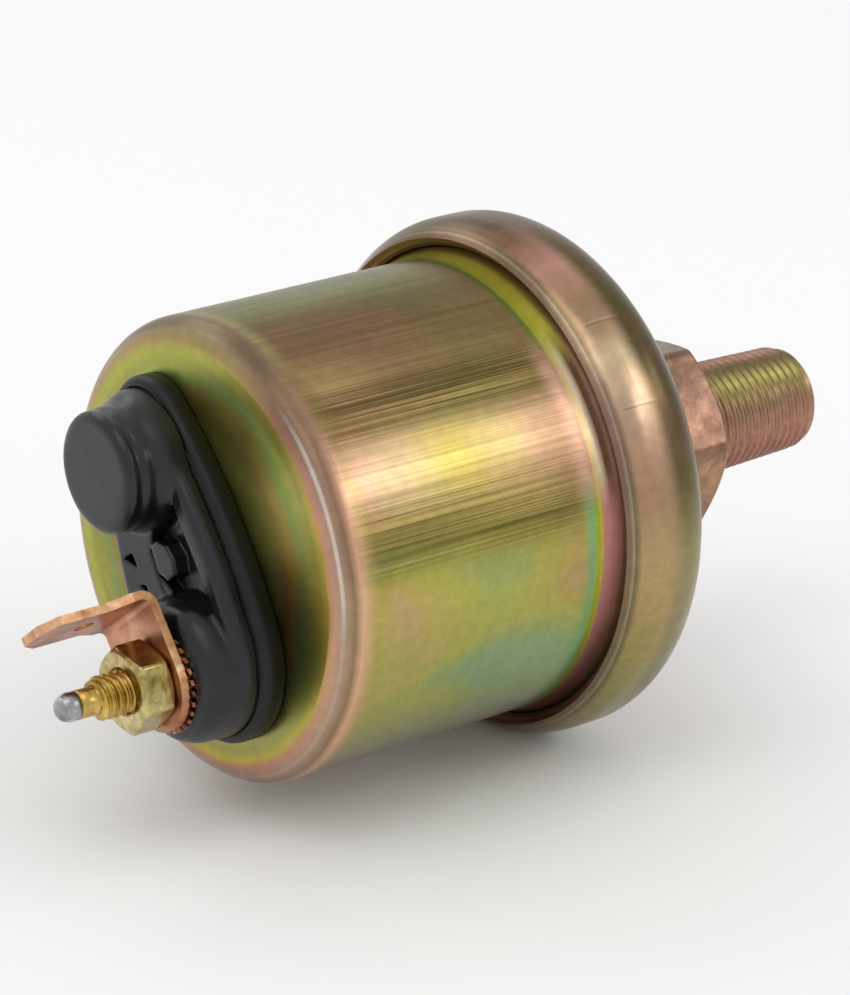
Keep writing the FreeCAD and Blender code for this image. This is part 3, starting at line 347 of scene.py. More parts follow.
def can_stains(paint, colour, turn, x_mm, upper, not_below):
    """Pink stains above and towards the cup, green, yellow and teal patches below."""
    warm = paint.times(paint.span(x_mm, -36.0, -28.0, 0.0, 0.45), paint.arc(turn, 112, 92), not_below)
    colour = paint.mix(warm, colour, srgb(140, 104, 78))
    pink = paint.ramp(paint.noise(38.0, 2.0, 0.5, warp=0.4), [
        (0.38, (122, 124, 58)), (0.62, (178, 122, 106))])
    colour = paint.mix(paint.times(upper, 0.26), colour, pink)
    patch = paint.noise(1.0, 2.0, 0.4, paint.stretch(50.0, 80.0, 80.0), warp=0.4)
    tint = paint.ramp(patch, [
        (0.3, (116, 160, 132)), (0.41, (144, 164, 100)), (0.5, (176, 172, 76)), (0.57, (188, 162, 92)),
        (0.66, (202, 146, 130))])
    lower = paint.times(paint.minus(1.0, upper), paint.arc(turn, 135, 115, 0.15, 0.5))
    return paint.mix(lower, colour, tint)


def can_corner(paint, turn, waver, below, not_below):
    """Rainbow edge round the front corner, another one on top, painted light and shade round the corner by
    angle, and a thin painted highlight line.
    """
    across = paint.span(waver, -5.0, 5.0, smooth=False)
    corner = paint.ramp(across, [
        (0.0, (136, 144, 70)), (0.14, (134, 146, 74)), (0.24, (182, 168, 64)), (0.31, (190, 138, 112)),
        (0.37, (182, 140, 122)), (0.46, (164, 136, 120)), (0.52, (160, 130, 112)), (0.6, (136, 108, 88)),
        (0.69, (214, 166, 138)), (0.8, (184, 156, 106)), (0.87, (164, 152, 76)), (1.0, (144, 140, 72))],
        smooth=False)
    corner_above = paint.ramp(across, [
        (0.0, (214, 228, 112)), (0.24, (234, 240, 112)), (0.34, (236, 206, 130)), (0.44, (226, 200, 150)),
        (0.54, (160, 140, 114)), (0.68, (160, 138, 112)), (0.8, (222, 202, 140)), (1.0, (210, 204, 126))],
        smooth=False)
    top = paint.times(paint.arc(turn, 40, 12, 0.0, 0.85), not_below)
    corner = paint.mix(top, corner, corner_above)
    # painted light and shade: darker over the top and far side, lighter towards the front, lighter still at
    # the bottom
    corner_painted_light = paint.times(paint.arc(turn, 34, 66, 0.56, 1.08), paint.arc(turn, 88, 116, 1.0, 1.08))
    corner_painted_light = paint.times(corner_painted_light, paint.plus(1.0, paint.times(below, 0.9)))
    corner = paint.shade(corner, corner_painted_light)
    # painted highlight line along the corner, strongest between about 56 and 74 degrees
    bright = paint.times(paint.span(waver, -0.85, -0.5), paint.span(waver, 0.0, -0.35))
    facing = paint.times(paint.arc(turn, 30, 56), paint.arc(turn, 98, 74, 0.2, 1.0))
    return paint.mix(paint.times(paint.times(bright, facing), 0.8), corner, srgb(226, 216, 206))


def can_flare(paint, turn, x_mm, wander, below):
    """Rainbow edge where the flare starts: one low on the can, one above with a painted reflection on its
    slope, and a fold between them with a painted highlight and a line of painted shade.
    """
    ends_at = -23.8
    flare = paint.ramp(paint.span(paint.plus(x_mm, paint.times(wander, 0.8)), -29.0, ends_at, smooth=False), [
        (0.0, (160, 152, 80)), (0.2, (146, 164, 78)), (0.38, (114, 166, 122)), (0.5, (150, 178, 72)),
        (0.58, (192, 184, 54)), (0.67, (200, 136, 128)), (0.8, (186, 116, 124)), (0.94, (170, 112, 106)),
        (1.0, (110, 82, 70))], smooth=False)
    # the band above: a painted reflection of light on the flare's slope, brightest yellow from 0.58 to 0.86
    above = paint.ramp(paint.span(x_mm, -28.5, ends_at, smooth=False), [
        (0.0, (124, 98, 64)), (0.3, (138, 112, 74)), (0.46, (112, 132, 66)), (0.58, (192, 196, 60)),
        (0.68, (216, 210, 72)), (0.86, (226, 214, 88)), (0.95, (150, 132, 62)), (1.0, (120, 100, 60))],
        smooth=False)
    # painted shade: the band above gets darker past the top towards the far side
    above = paint.shade(above, paint.arc(turn, -50, -15, 0.7, 0.97))
    # the fold: a painted highlight line, then a dark line of painted shade in the gap under the lip
    fold = paint.ramp(paint.span(x_mm, -28.0, ends_at, smooth=False), [
        (0.0, (208, 160, 138)), (0.45, (214, 168, 142)), (0.56, (230, 204, 140)), (0.66, (238, 224, 190)),
        (0.74, (198, 170, 140)), (0.8, (96, 68, 56)), (0.88, (112, 80, 66)), (0.95, (176, 140, 116)),
        (1.0, (130, 100, 84))], smooth=False)
    ends = paint.mix(paint.arc(turn, 46, 30), fold, above)
    return paint.mix(paint.math("MAXIMUM", paint.arc(turn, 66, 80), below), ends, flare)


def can_face(paint, radius):
    """Front face: brown by the cap, then green, then yellow, mixed with colours by height."""
    uneven = paint.times(paint.minus(paint.noise(60.0, 2.0, 0.5), 0.5), 8.0)
    face = paint.ramp(paint.span(paint.plus(radius, uneven), 11.0, 18.8, smooth=False), [
        (0.0, (150, 148, 74)), (0.22, (146, 112, 68)), (0.4, (168, 136, 74)), (0.6, (132, 160, 94)),
        (0.82, (166, 168, 70)), (1.0, (190, 172, 72))])
    fall = paint.ramp(paint.span(paint.z, -0.021, 0.021, smooth=False), [
        (0.0, (214, 156, 132)), (0.16, (184, 156, 92)), (0.34, (136, 126, 68)), (0.5, (122, 112, 56)),
        (0.65, (150, 148, 72)), (0.85, (170, 172, 80)), (1.0, (170, 164, 84))])
    return paint.mix(0.45, face, fall)


def can_lines(paint, turn, x_mm, upper, lines):
    """How much the lines drawn along the can darken it: most in two dark bands."""
    high = paint.times(paint.arc(turn, 33, 39), paint.arc(turn, 51, 43))
    low = paint.times(paint.arc(turn, 60, 70), paint.arc(turn, 86, 74))
    middle = paint.times(paint.span(x_mm, -52.0, -48.0), paint.span(x_mm, -26.5, -30.0))
    marked = paint.times(paint.plus(high, paint.times(low, 0.62)), middle)
    faint = paint.times(upper, paint.span(x_mm, -52.8, -51.0, 0.0, 0.34), paint.span(x_mm, -25.6, -27.2))
    power = paint.times(paint.span(lines, 0.38, 0.62, -0.8, 0.7, smooth=False), paint.plus(marked, faint))
    return paint.math("POWER", 2.0, power)


def passivate_can():
    """Yellow passivate on drawn sheet: bands round the can with a painted highlight and painted dark
    reflections in them, fine lines along it, soft patches below.
    """
    paint = Paint("passivate_can", metallic=1.0)
    x_mm, radius = paint.x_mm(), paint.radius_mm()
    wander = paint.minus(paint.noise(45.0, 2.0, 0.5), 0.5)
    turn = paint.plus(turn_share(paint), paint.times(wander, 0.025))
    # 1 near the bottom, where the angle jumps from -180 to 180 degrees, so that no seam shows there
    below = paint.arc(turn, -140, -178)
    not_below = paint.minus(1.0, below)
    upper = paint.times(paint.arc(turn, 86, 72), not_below)
    # way over the front corner in millimetres, from the face to the side
    along = paint.plus(paint.plus(x_mm, -X_FACE), paint.minus(radius, CAN_RADIUS))
    waver = paint.plus(along, paint.times(wander, 1.0))
    colour = can_stains(paint, can_bands(paint, turn, x_mm), turn, x_mm, upper, not_below)
    near = paint.times(paint.span(along, -4.6, -3.0), paint.span(along, 4.4, 2.4), 0.88)
    colour = paint.mix(near, colour, can_corner(paint, turn, waver, below, not_below))
    foot = paint.times(paint.span(x_mm, -28.6, -26.6), 0.88)
    colour = paint.mix(foot, colour, can_flare(paint, turn, x_mm, wander, below))
    on_face = paint.times(paint.span(x_mm, -53.0, -53.9), paint.span(along, -2.8, -4.4))
    colour = paint.mix(on_face, colour, can_face(paint, radius))
    fine = paint.noise(1.0, 2.0, 0.65, paint.stretch(34.0, 5200.0, 5200.0))
    broad = paint.noise(1.0, 2.0, 0.55, paint.stretch(14.0, 1100.0, 1100.0))
    lines = paint.plus(paint.times(fine, 0.76), paint.times(broad, 0.24))
    colour = paint.shade(colour, can_lines(paint, turn, x_mm, upper, lines))
    colour = paint.shade(colour, paint.uneven(900.0, 2.0, 0.6, 0.94, 1.05))
    rough = paint.plus(paint.uneven(110.0, 3.0, 0.5, 0.25, 0.33), paint.times(upper, 0.05))
    paint.bump(lines, 0.00001, 0.4)
    paint.bump(paint.noise(24.0, 1.0, 0.4), 0.0003, 0.2)
    return paint.finish(colour, rough)


def cross_marks(paint, colour, true_turn, x_mm):
    """Two dark scratches along the cup, each with a pale edge."""
    where = paint.times(paint.span(x_mm, -23.4, -22.6), paint.span(x_mm, -19.0, -20.8))
    for at in (38.7, 58.5):
        offset = paint.minus(true_turn, degrees(at))
        mark = paint.times(paint.span(paint.math("ABSOLUTE", offset), 0.0008, 0.0002), where)
        side = paint.math("ABSOLUTE", paint.plus(offset, 0.0016))
        side = paint.times(paint.span(side, 0.0012, 0.0004), where)
        colour = paint.mix(paint.times(mark, 0.42), colour, srgb(86, 70, 48))
        colour = paint.mix(paint.times(side, 0.16), colour, srgb(226, 208, 168))
    return colour


def passivate_cup():
    """The same finish on the cup: cream and pink outside with a painted highlight, a painted dark reflection
    round the shoulder, darkest over the top and front, two marks.
    """
    paint = Paint("passivate_cup", metallic=1.0)
    x_mm = paint.x_mm()
    wander = paint.minus(paint.noise(50.0, 2.0, 0.5), 0.5)
    true_turn = turn_share(paint)
    turn = paint.plus(true_turn, paint.times(wander, 0.03))
    # tones round the cup with painted light: a painted highlight at 47 to 54 degrees and a painted dark
    # reflection at the top
    outside = paint.ring_ramp(turn, [
        (-180, (132, 116, 86)), (-120, (128, 120, 80)), (-70, (158, 132, 98)), (-25, (106, 88, 60)),
        (3, (72, 60, 38)), (12, (136, 98, 80)), (22, (206, 150, 138)), (33, (164, 134, 104)),
        (40, (178, 148, 118)), (47, (224, 200, 162)), (54, (212, 184, 152)), (60, (186, 160, 134)),
        (67, (186, 152, 126)), (78, (168, 134, 108)), (95, (182, 154, 108)), (115, (164, 148, 92)),
        (136, (150, 144, 104)), (160, (132, 116, 86))], smooth=False)
    # painted dark reflection round the shoulder, darkest from 18 to 62 degrees and lighter below
    shoulder = paint.ring_ramp(turn, [
        (-180, (140, 134, 108)), (-90, (132, 126, 94)), (-30, (112, 104, 76)), (5, (108, 98, 72)),
        (18, (84, 78, 46)), (36, (78, 70, 46)), (62, (66, 56, 38)), (76, (98, 84, 58)),
        (92, (146, 138, 98)), (115, (146, 138, 106)), (145, (140, 134, 108))], smooth=False)
    edge = paint.plus(x_mm, paint.times(wander, 1.6))
    colour = paint.mix(paint.span(edge, -20.9, -19.0), outside, shoulder)
    colour = paint.mix(paint.span(x_mm, -16.4, -14.9, 0.0, 0.7), colour, srgb(146, 138, 110))
    lip = paint.ramp(paint.span(x_mm, -24.5, -23.5, smooth=False), [
        (0.0, (112, 84, 74)), (0.3, (112, 92, 78)), (0.48, (150, 142, 128)), (0.6, (104, 88, 70)),
        (1.0, (140, 116, 88))], smooth=False)
    colour = paint.mix(paint.span(x_mm, -23.3, -23.8, 0.0, 0.85), colour, lip)
    stain = paint.ramp(paint.noise(60.0, 3.0, 0.5, warp=0.6), [
        (0.32, (108, 126, 78)), (0.46, (136, 124, 74)), (0.58, (168, 128, 102)), (0.72, (184, 144, 132))])
    colour = cross_marks(paint, paint.mix(0.18, colour, stain), true_turn, x_mm)
    colour = paint.shade(colour, paint.uneven(900.0, 2.0, 0.6, 0.93, 1.06))
    paint.bump(paint.noise(1.0, 2.0, 0.6, paint.stretch(900.0, 60.0, 60.0)), 0.00001, 0.3)
    paint.bump(paint.noise(30.0, 1.0, 0.4), 0.0003, 0.2)
    return paint.finish(colour, paint.uneven(150.0, 3.0, 0.5, 0.24, 0.34))


def passivate_fitting():
    """Mottled and pitted hexagon with its facets' light and shade painted in by angle, and a plainer thread:
    olive above with a painted highlight, pink and brown below.
    """
    paint = Paint("passivate_fitting", metallic=1.0)
    mottle = paint.ramp(paint.noise(170.0, 4.0, 0.6, warp=0.5), [
        (0.3, (84, 62, 54)), (0.42, (128, 94, 80)), (0.52, (164, 126, 104)), (0.62, (156, 140, 90)),
        (0.74, (206, 180, 148))])
    # tones round the hexagon by angle, partly the finish's colour and partly painted light and shade of its
    # facets
    tint = paint.ring_ramp(turn_share(paint), [
        (-180, (150, 120, 84)), (-60, (140, 120, 90)), (0, (158, 150, 118)), (30, (112, 92, 74)),
        (60, (138, 104, 88)), (86, (146, 114, 92)), (98, (188, 146, 110)), (140, (150, 120, 84))])
    colour = paint.mix(0.5, mottle, tint)
    # thread colours by angle, with a painted highlight at 44 degrees
    thread = paint.ring_ramp(paint.plus(turn_share(paint), paint.times(paint.noise(120.0, 2.0), 0.03)), [
        (-180, (158, 112, 100)), (-60, (128, 108, 84)), (0, (146, 104, 92)), (22, (112, 98, 66)),
        (44, (166, 156, 90)), (56, (150, 134, 86)), (78, (156, 122, 96)), (104, (176, 126, 110)),
        (140, (158, 112, 100))], smooth=False)
    on_thread = paint.times(paint.span(paint.x_mm(), 0.0, 0.8), paint.span(paint.radius_mm(), 6.4, 5.7))
    colour = paint.mix(paint.times(on_thread, 0.82), colour, thread)
    colour = paint.shade(colour, paint.uneven(1100.0, 3.0, 0.7, 0.88, 1.1, cut=0.35))
    paint.bump(paint.noise(1100.0, 4.0, 0.65), 0.00002, 0.5)
    paint.bump(paint.noise(260.0, 3.0, 0.6), 0.00007, 0.4)
    return paint.finish(colour, paint.uneven(500.0, 4.0, 0.6, 0.26, 0.4))


def sheared_copper():
    """Copper strip: dull rolled faces, and brighter torn edges where it was cut."""
    paint = Paint("copper_strip", metallic=1.0)
    faces = paint.ramp(paint.noise(150.0, 4.0, 0.6, warp=0.5), [
        (0.28, (150, 104, 82)), (0.44, (178, 126, 102)), (0.58, (202, 146, 116)), (0.75, (220, 172, 142))])
    edges = paint.ramp(paint.noise(700.0, 4.0, 0.7), [
        (0.3, (186, 128, 96)), (0.5, (222, 168, 128)), (0.7, (242, 206, 168))])
    split = paint.add("ShaderNodeSeparateXYZ")
    paint.join(paint.add("ShaderNodeNewGeometry").outputs["True Normal"], split.inputs[0])
    tilt = CAP_TURN + math.radians(10.0)
    normal_x, normal_y, normal_z = split.outputs
    upright = paint.plus(paint.times(normal_y, math.sin(tilt)), paint.times(normal_z, math.cos(tilt)))
    flat = paint.math("ABSOLUTE", upright)
    # past its bend the blade's faces look along the axis
    leg = paint.times(paint.math("ABSOLUTE", normal_x), paint.span(paint.x, -0.0640, -0.0636))
    cut = paint.span(paint.math("MAXIMUM", flat, leg), 0.7, 0.35)
    colour = paint.mix(cut, faces, edges)
    streak = paint.noise(1.0, 4.0, 0.7, paint.stretch(120.0, 900.0, 900.0))
    colour = paint.shade(colour, paint.span(streak, 0.35, 0.65, 0.9, 1.08))
    paint.bump(paint.times(paint.noise(1500.0, 3.0, 0.7), cut), 0.00004, 0.6)
    paint.bump(streak, 0.00001, 0.4)
    return paint.finish(colour, paint.uneven(400.0, 3.0, 0.6, 0.28, 0.42))


def passivate_turned(name, stops, coarse, low, high):
    """Passivate on turned or stamped metal, mottled and finely pitted."""
    paint = Paint(name, metallic=1.0)
    depth = 0.00001
    mottle = paint.ramp(paint.noise(coarse, 5.0, 0.68, warp=0.6), stops)
    colour = paint.shade(mottle, paint.uneven(coarse * 6, 4.0, 0.7, 0.78, 1.16, cut=0.35))
    paint.bump(paint.noise(coarse * 8, 5.0, 0.7), depth, 0.5)
    paint.bump(paint.noise(coarse * 2, 3.0, 0.6), depth * 3, 0.4)
    return paint.finish(colour, paint.uneven(coarse * 4, 4.0, 0.6, low, high))


def plain_metal(name, stops, coarse=300.0, low=0.22, high=0.38, lines=(900.0, 900.0, 900.0)):
    """A bright or dull metal with faint stains and streaks."""
    paint = Paint(name, metallic=1.0)
    stain = paint.ramp(paint.noise(coarse, 4.0, 0.6, warp=0.4), stops)
    streak = paint.noise(1.0, 4.0, 0.7, paint.stretch(*lines))
    colour = paint.shade(stain, paint.span(streak, 0.35, 0.65, 0.86, 1.1))
    paint.bump(streak, 0.00001, 0.5)
    return paint.finish(colour, paint.uneven(coarse * 2, 3.0, 0.6, low, high))


def moulded(name, base, dust, gloss, low, high, grain=900.0):
    """Moulded plastic or rubber: fine grain, uneven gloss and a little dust."""
    paint = Paint(name, roughness=0.4, specular=gloss)
    dusty = paint.span(paint.noise(120.0, 4.0, 0.6), 0.4, 0.75, 0.0, 0.5)
    colour = paint.mix(dusty, srgb(*base), srgb(*dust))
    paint.bump(paint.noise(grain, 3.0, 0.6), 0.00001, 0.4)
    paint.bump(paint.noise(150.0, 2.0, 0.5), 0.0002, 0.3)
    return paint.finish(colour, paint.uneven(220.0, 4.0, 0.65, low, high))


fitting_metal = passivate_fitting()
nut_metal = passivate_turned("passivate_nut", [
    (0.28, (136, 112, 60)), (0.4, (172, 156, 96)), (0.52, (202, 184, 126)), (0.64, (216, 198, 154)),
    (0.78, (236, 214, 182))], coarse=200.0, low=0.18, high=0.28)
washer_metal = passivate_turned("passivate_washer", [
    (0.3, (120, 72, 44)), (0.5, (186, 126, 88)), (0.7, (222, 164, 118))], coarse=420.0, low=0.24, high=0.36)
brass = plain_metal("brass", [
    (0.3, (150, 120, 54)), (0.5, (194, 160, 82)), (0.7, (224, 194, 124))], low=0.2, high=0.32)
solder = plain_metal("solder", [
    (0.3, (110, 111, 114)), (0.5, (160, 160, 163)), (0.7, (206, 207, 210))], coarse=420.0, low=0.22, high=0.4)
winding_metal = plain_metal("resistance_wire", [
    (0.3, (120, 112, 100)), (0.7, (190, 182, 168))], lines=(5200.0, 200.0, 200.0))
rubber = moulded("seal_rubber", base=(13, 16, 16), dust=(30, 34, 32), gloss=0.3, low=0.34, high=0.5)
board = moulded("laminate", base=(92, 54, 30), dust=(120, 78, 48), gloss=0.4, low=0.4, high=0.55, grain=500.0)
plastic = moulded("cap_moulding", base=(14, 15, 19), dust=(34, 35, 41), gloss=0.46, low=0.2, high=0.4)

by_slot = {
    "zinc_yellow": passivate_can(),
    "zinc_fitting": fitting_metal,
    "steel": plain_metal("bright_steel", [(0.3, (150, 150, 148)), (0.7, (196, 194, 190))]),
    "brass": brass,
    "bronze": plain_metal("spring_bronze", [(0.3, (150, 104, 70)), (0.7, (196, 146, 104))]),
    "copper": sheared_copper(),
    "solder": solder,
    "winding": winding_metal,
    "seal": rubber,
    "insulation": board,
    "moulding": plastic,
}
by_node = {"base_cup": passivate_cup(), "terminal_nut": nut_metal, "tooth_washer": washer_metal}
for entry in frame["record"]["subparts"]:
    for place in frame["nodes"][entry["node"]].material_slots:
        place.material = by_node.get(entry["node"], by_slot[entry["material_slot"]])


# Hexagon fitting and pipe thread
PIPE_END = 14.9


def pipe_radius(x):
    """Crest radius of the pipe thread, which tapers by one part in 32."""
    return 4.99 + (PIPE_END - x) / 32


def pipe_thread(steps):
    """Rings of the pipe thread. Its turns run out at the hexagon and are lower at the end."""
    pitch, depth, start, count = 0.9407, 0.3, 14.5, 232
    rings = []
    for k in range(count + 1):
        x = start - start * k / count

        def radius(a, x=x):
            wave = thread_wave(x / pitch - a / (2 * math.pi))
            lead = min(1.0, (14.55 - x) / 0.9)
            crest = pipe_radius(x) - (1 - lead) * 0.45
            fade = min(1.0, max(0.0, (x - 0.1) / 0.8))
            low = pipe_radius(x) - depth
            return max(low + 0.2 * (1 - fade), low + (crest - low) * (wave * fade))
        rings.append(ring_at(x, radius, steps))
    return rings


def fitting():
    """Thread, hexagon bevelled towards it, collar behind it and bore, as rings in that order."""
    steps, bore, far = 168, 2.0, -12.0
    side = hexagon(17.0, math.radians(53.0))
    circle, edge = 8.2, 0.12

    def reach(a):
        """How far the bevel runs outwards from its circle."""
        return side(a) - edge - circle

    end = rounded([(PIPE_END, bore), (PIPE_END, 4.3, 0.12), (14.45, 4.75)])[:-1]
    rings = [ring_at(x, r, steps) for x, r in end]
    rings += pipe_thread(steps)
    for share in (0.0, 0.02, 0.2, 0.4, 0.6, 0.8, 0.97, 1.0):
        rings.append(ring_at(lambda a, s=share: -reach(a) * s * BEVEL,
                             lambda a, s=share: circle + reach(a) * s, steps))
    for back in (0.12, 0.3, 0.8, 3.0, 6.0, 9.0, 11.2, 11.85):
        def along(a, back=back):
            return max(far + 0.1, -reach(a) * BEVEL - 0.06 - back) if back < 3 else -back
        rings.append(ring_at(along, side, steps))
    rings.append(ring_at(far, lambda a: side(a) - 0.15, steps))
    collar = ((far, 6.0), (-13.2, 6.0), (-13.2, 7.4), (-14.0, 7.4), (-14.0, 3.0), (-9.0, 3.0), (-9.0, bore))
    rings += [ring_at(x, r, steps) for x, r in collar]
    return rings_mesh(rings, True)


piece("hex_fitting_cut_thread", *fitting(), fitting_metal, "hex_fitting", "zinc_fitting")


# Terminal screw, nut, washer and solder
def at_stud(mesh):
    """Moves a mesh from the X axis to the screw's axis."""
    verts, faces = mesh
    y, z = -STUD_OFFSET * math.sin(CAP_TURN), -STUD_OFFSET * math.cos(CAP_TURN)
    return [(x, y + a, z + b) for x, a, b in verts], faces


def stud():
    """The hollow screw: bore, head, shank, thread and neck, as rings in that order."""
    steps, bore, shank = 72, 0.45, 2.0
    head, under_head, thread_end = -50.8, -52.0, -68.5
    pitch, depth, crest_radius, count = 0.7, 0.38, 1.98, 140
    start = ((X_NECK_END, bore), (head, bore), (head, 3.4), (under_head, 3.4), (under_head, shank),
             (-60.6, shank))
    rings = [ring_at(x, r, steps) for x, r in start]
    for k in range(count + 1):
        x = -60.8 - 7.7 * k / count

        def radius(a, x=x):
            end = min(1.0, max(0.0, (x - thread_end) / 0.45))
            crest = crest_radius - 0.3 * (1 - end)
            return crest - depth * (1 - thread_wave(x / pitch - a / (2 * math.pi), 0.12))
        rings.append(ring_at(x, radius, steps))
    neck = ((-68.52, 1.38), (-68.7, 1.31), (-69.4, 1.28), (X_NECK_END, 1.28))
    rings += [ring_at(x, r, steps) for x, r in neck]
    return at_stud(rings_mesh(rings, True))


def nut():
    """The nut, bevelled at both ends."""
    steps, bore, height, circle = 120, 2.05, 3.3, 3.33
    side = hexagon(7.0, math.radians(12.0), 90)

    def bevel(end, sign, share):
        """A ring of a bevel, from its circle at share 0 to the hexagon's edge at share 1."""
        return ring_at(lambda a: end + sign * (0.02 + (side(a) - circle) * share * BEVEL),
                       lambda a: circle + (side(a) - circle) * share, steps)

    shares = (0.0, 0.5, 0.97)
    rings = [ring_at(X_NUT - 0.02, r, steps) for r in (bore, 3.2)]
    rings += [bevel(X_NUT, -1, share) for share in shares]
    rings += [ring_at(X_NUT - down, side, steps) for down in (0.5, 1.65, 2.8)]
    rings += [bevel(X_NUT - height, 1, share) for share in reversed(shares)]
    rings += [ring_at(X_NUT - 3.28, 2.3, steps), ring_at(X_NUT - 3.1, bore, steps)]
    return at_stud(rings_mesh(rings, True))


def washer():
    """Ring with thirty teeth, each twisted out of the ring's plane."""
    teeth, per = 30, 8
    steps = teeth * per
    inner, root, tip, half = 2.1, 4.25, 4.8, 0.15
    rings = []
    for lift in (-half, half):
        row = []
        for share in (0.0, 0.35, 0.65, 0.85, 1.0):
            ring = []
            for i in range(steps):
                a = 2 * math.pi * i / steps + CAP_TURN
                t = (i % per) / per
                outer = tip if 0.12 <= t <= 0.72 else root
                r = inner + (outer - inner) * share
                twist = (t - 0.42) * 0.3 * max(0.0, (r - 3.9) / 0.9)
                ring.append((X_WASHER + lift + twist, r * math.cos(a), r * math.sin(a)))
            row.append(ring)
        rings += row if lift > 0 else row[::-1]
    return at_stud(rings_mesh(rings, True))


def drop():
    """A drop of solder: nearly round, a little uneven, drawn in where it meets the neck."""
    steps, rows, size, tip = 40, 20, 1.35, -72.35
    rings = [[(tip, 0.0, 0.0)]]
    for k in range(1, rows + 1):
        a = math.radians(100.0) * k / rows
        x, r = tip + size * (1 - math.cos(a)), size * math.sin(a)

        def radius(b, x=x, r=r):
            lump = noise.noise(Vector((x * 1.1, math.cos(b) * r * 1.1, math.sin(b) * r * 1.1)))
            return max(0.02, r - 0.05 + 0.05 * lump) if r > 1.12 else r
        rings.append(ring_at(x, radius, steps))
    rings += [ring_at(X_NECK_END, 1.3, steps), [(X_NECK_END, 0.0, 0.0)]]
    return at_stud(rings_mesh(rings, False))


piece("terminal_stud_cut_thread", *stud(), brass, "terminal_stud", "brass")
piece("terminal_nut_chamfered", *nut(), nut_metal, "terminal_nut", "zinc_yellow")
piece("tooth_washer_twisted", *washer(), washer_metal, "tooth_washer", "zinc_yellow", smooth=False)
piece("solder_drop", *drop(), solder, "solder_tip", "solder")


# Moulded cap and its gasket. The outline is two end arcs and two long side arcs.
LOW, HIGH, SIDE = 8.8, 5.4, 52.0
LOW_AT, HIGH_AT = -7.9, 11.3
SPAN = HIGH_AT - LOW_AT
RISE = ((SIDE - LOW) ** 2 - (SIDE - HIGH) ** 2 + SPAN ** 2) / (2 * SPAN)
DEPTH = math.sqrt((SIDE - LOW) ** 2 - RISE ** 2)
# Angles at a side arc's centre between which that arc runs
FIRST, LAST = math.atan2(-RISE, DEPTH), math.atan2(SPAN - RISE, DEPTH)


def cap_point(x, p, q):
    """From cap places, p towards the boss and q across it, to the row frame."""
    s, c = math.sin(CAP_TURN), math.cos(CAP_TURN)
    return (x, p * s - q * c, p * c + q * s)


def egg_distance(p, q):
    """Distance outside the cap's outline, negative inside."""
    low = np.hypot(p - LOW_AT, q) - LOW
    high = np.hypot(p - HIGH_AT, q) - HIGH
    side = np.hypot(p - (LOW_AT + RISE), np.abs(q) + DEPTH) - SIDE
    angle = np.arctan2(p - (LOW_AT + RISE), np.abs(q) + DEPTH)
    return np.where(angle < FIRST, low, np.where(angle > LAST, high, side))


def smooth_max(a, b, k):
    """The larger of two distances, with a fillet of about k where they meet."""
    t = np.clip(0.5 + 0.5 * (a - b) / k, 0, 1)
    return b * (1 - t) + a * t + k * t * (1 - t)


def smooth_min(a, b, k):
    return -smooth_max(-a, -b, k)


def prism(p, q, x, outline, top, edge):
    """A straight-sided solid below a station over an outline of (p, q) corners, given anticlockwise."""
    wall = np.full(p.shape, -1e9)
    for i, (p0, q0) in enumerate(outline):
        p1, q1 = outline[(i + 1) % len(outline)]
        length = math.hypot(p1 - p0, q1 - q0)
        wall = np.maximum(wall, ((p - p0) * (q1 - q0) - (q - q0) * (p1 - p0)) / length)
    return smooth_max(wall, top - x, edge)


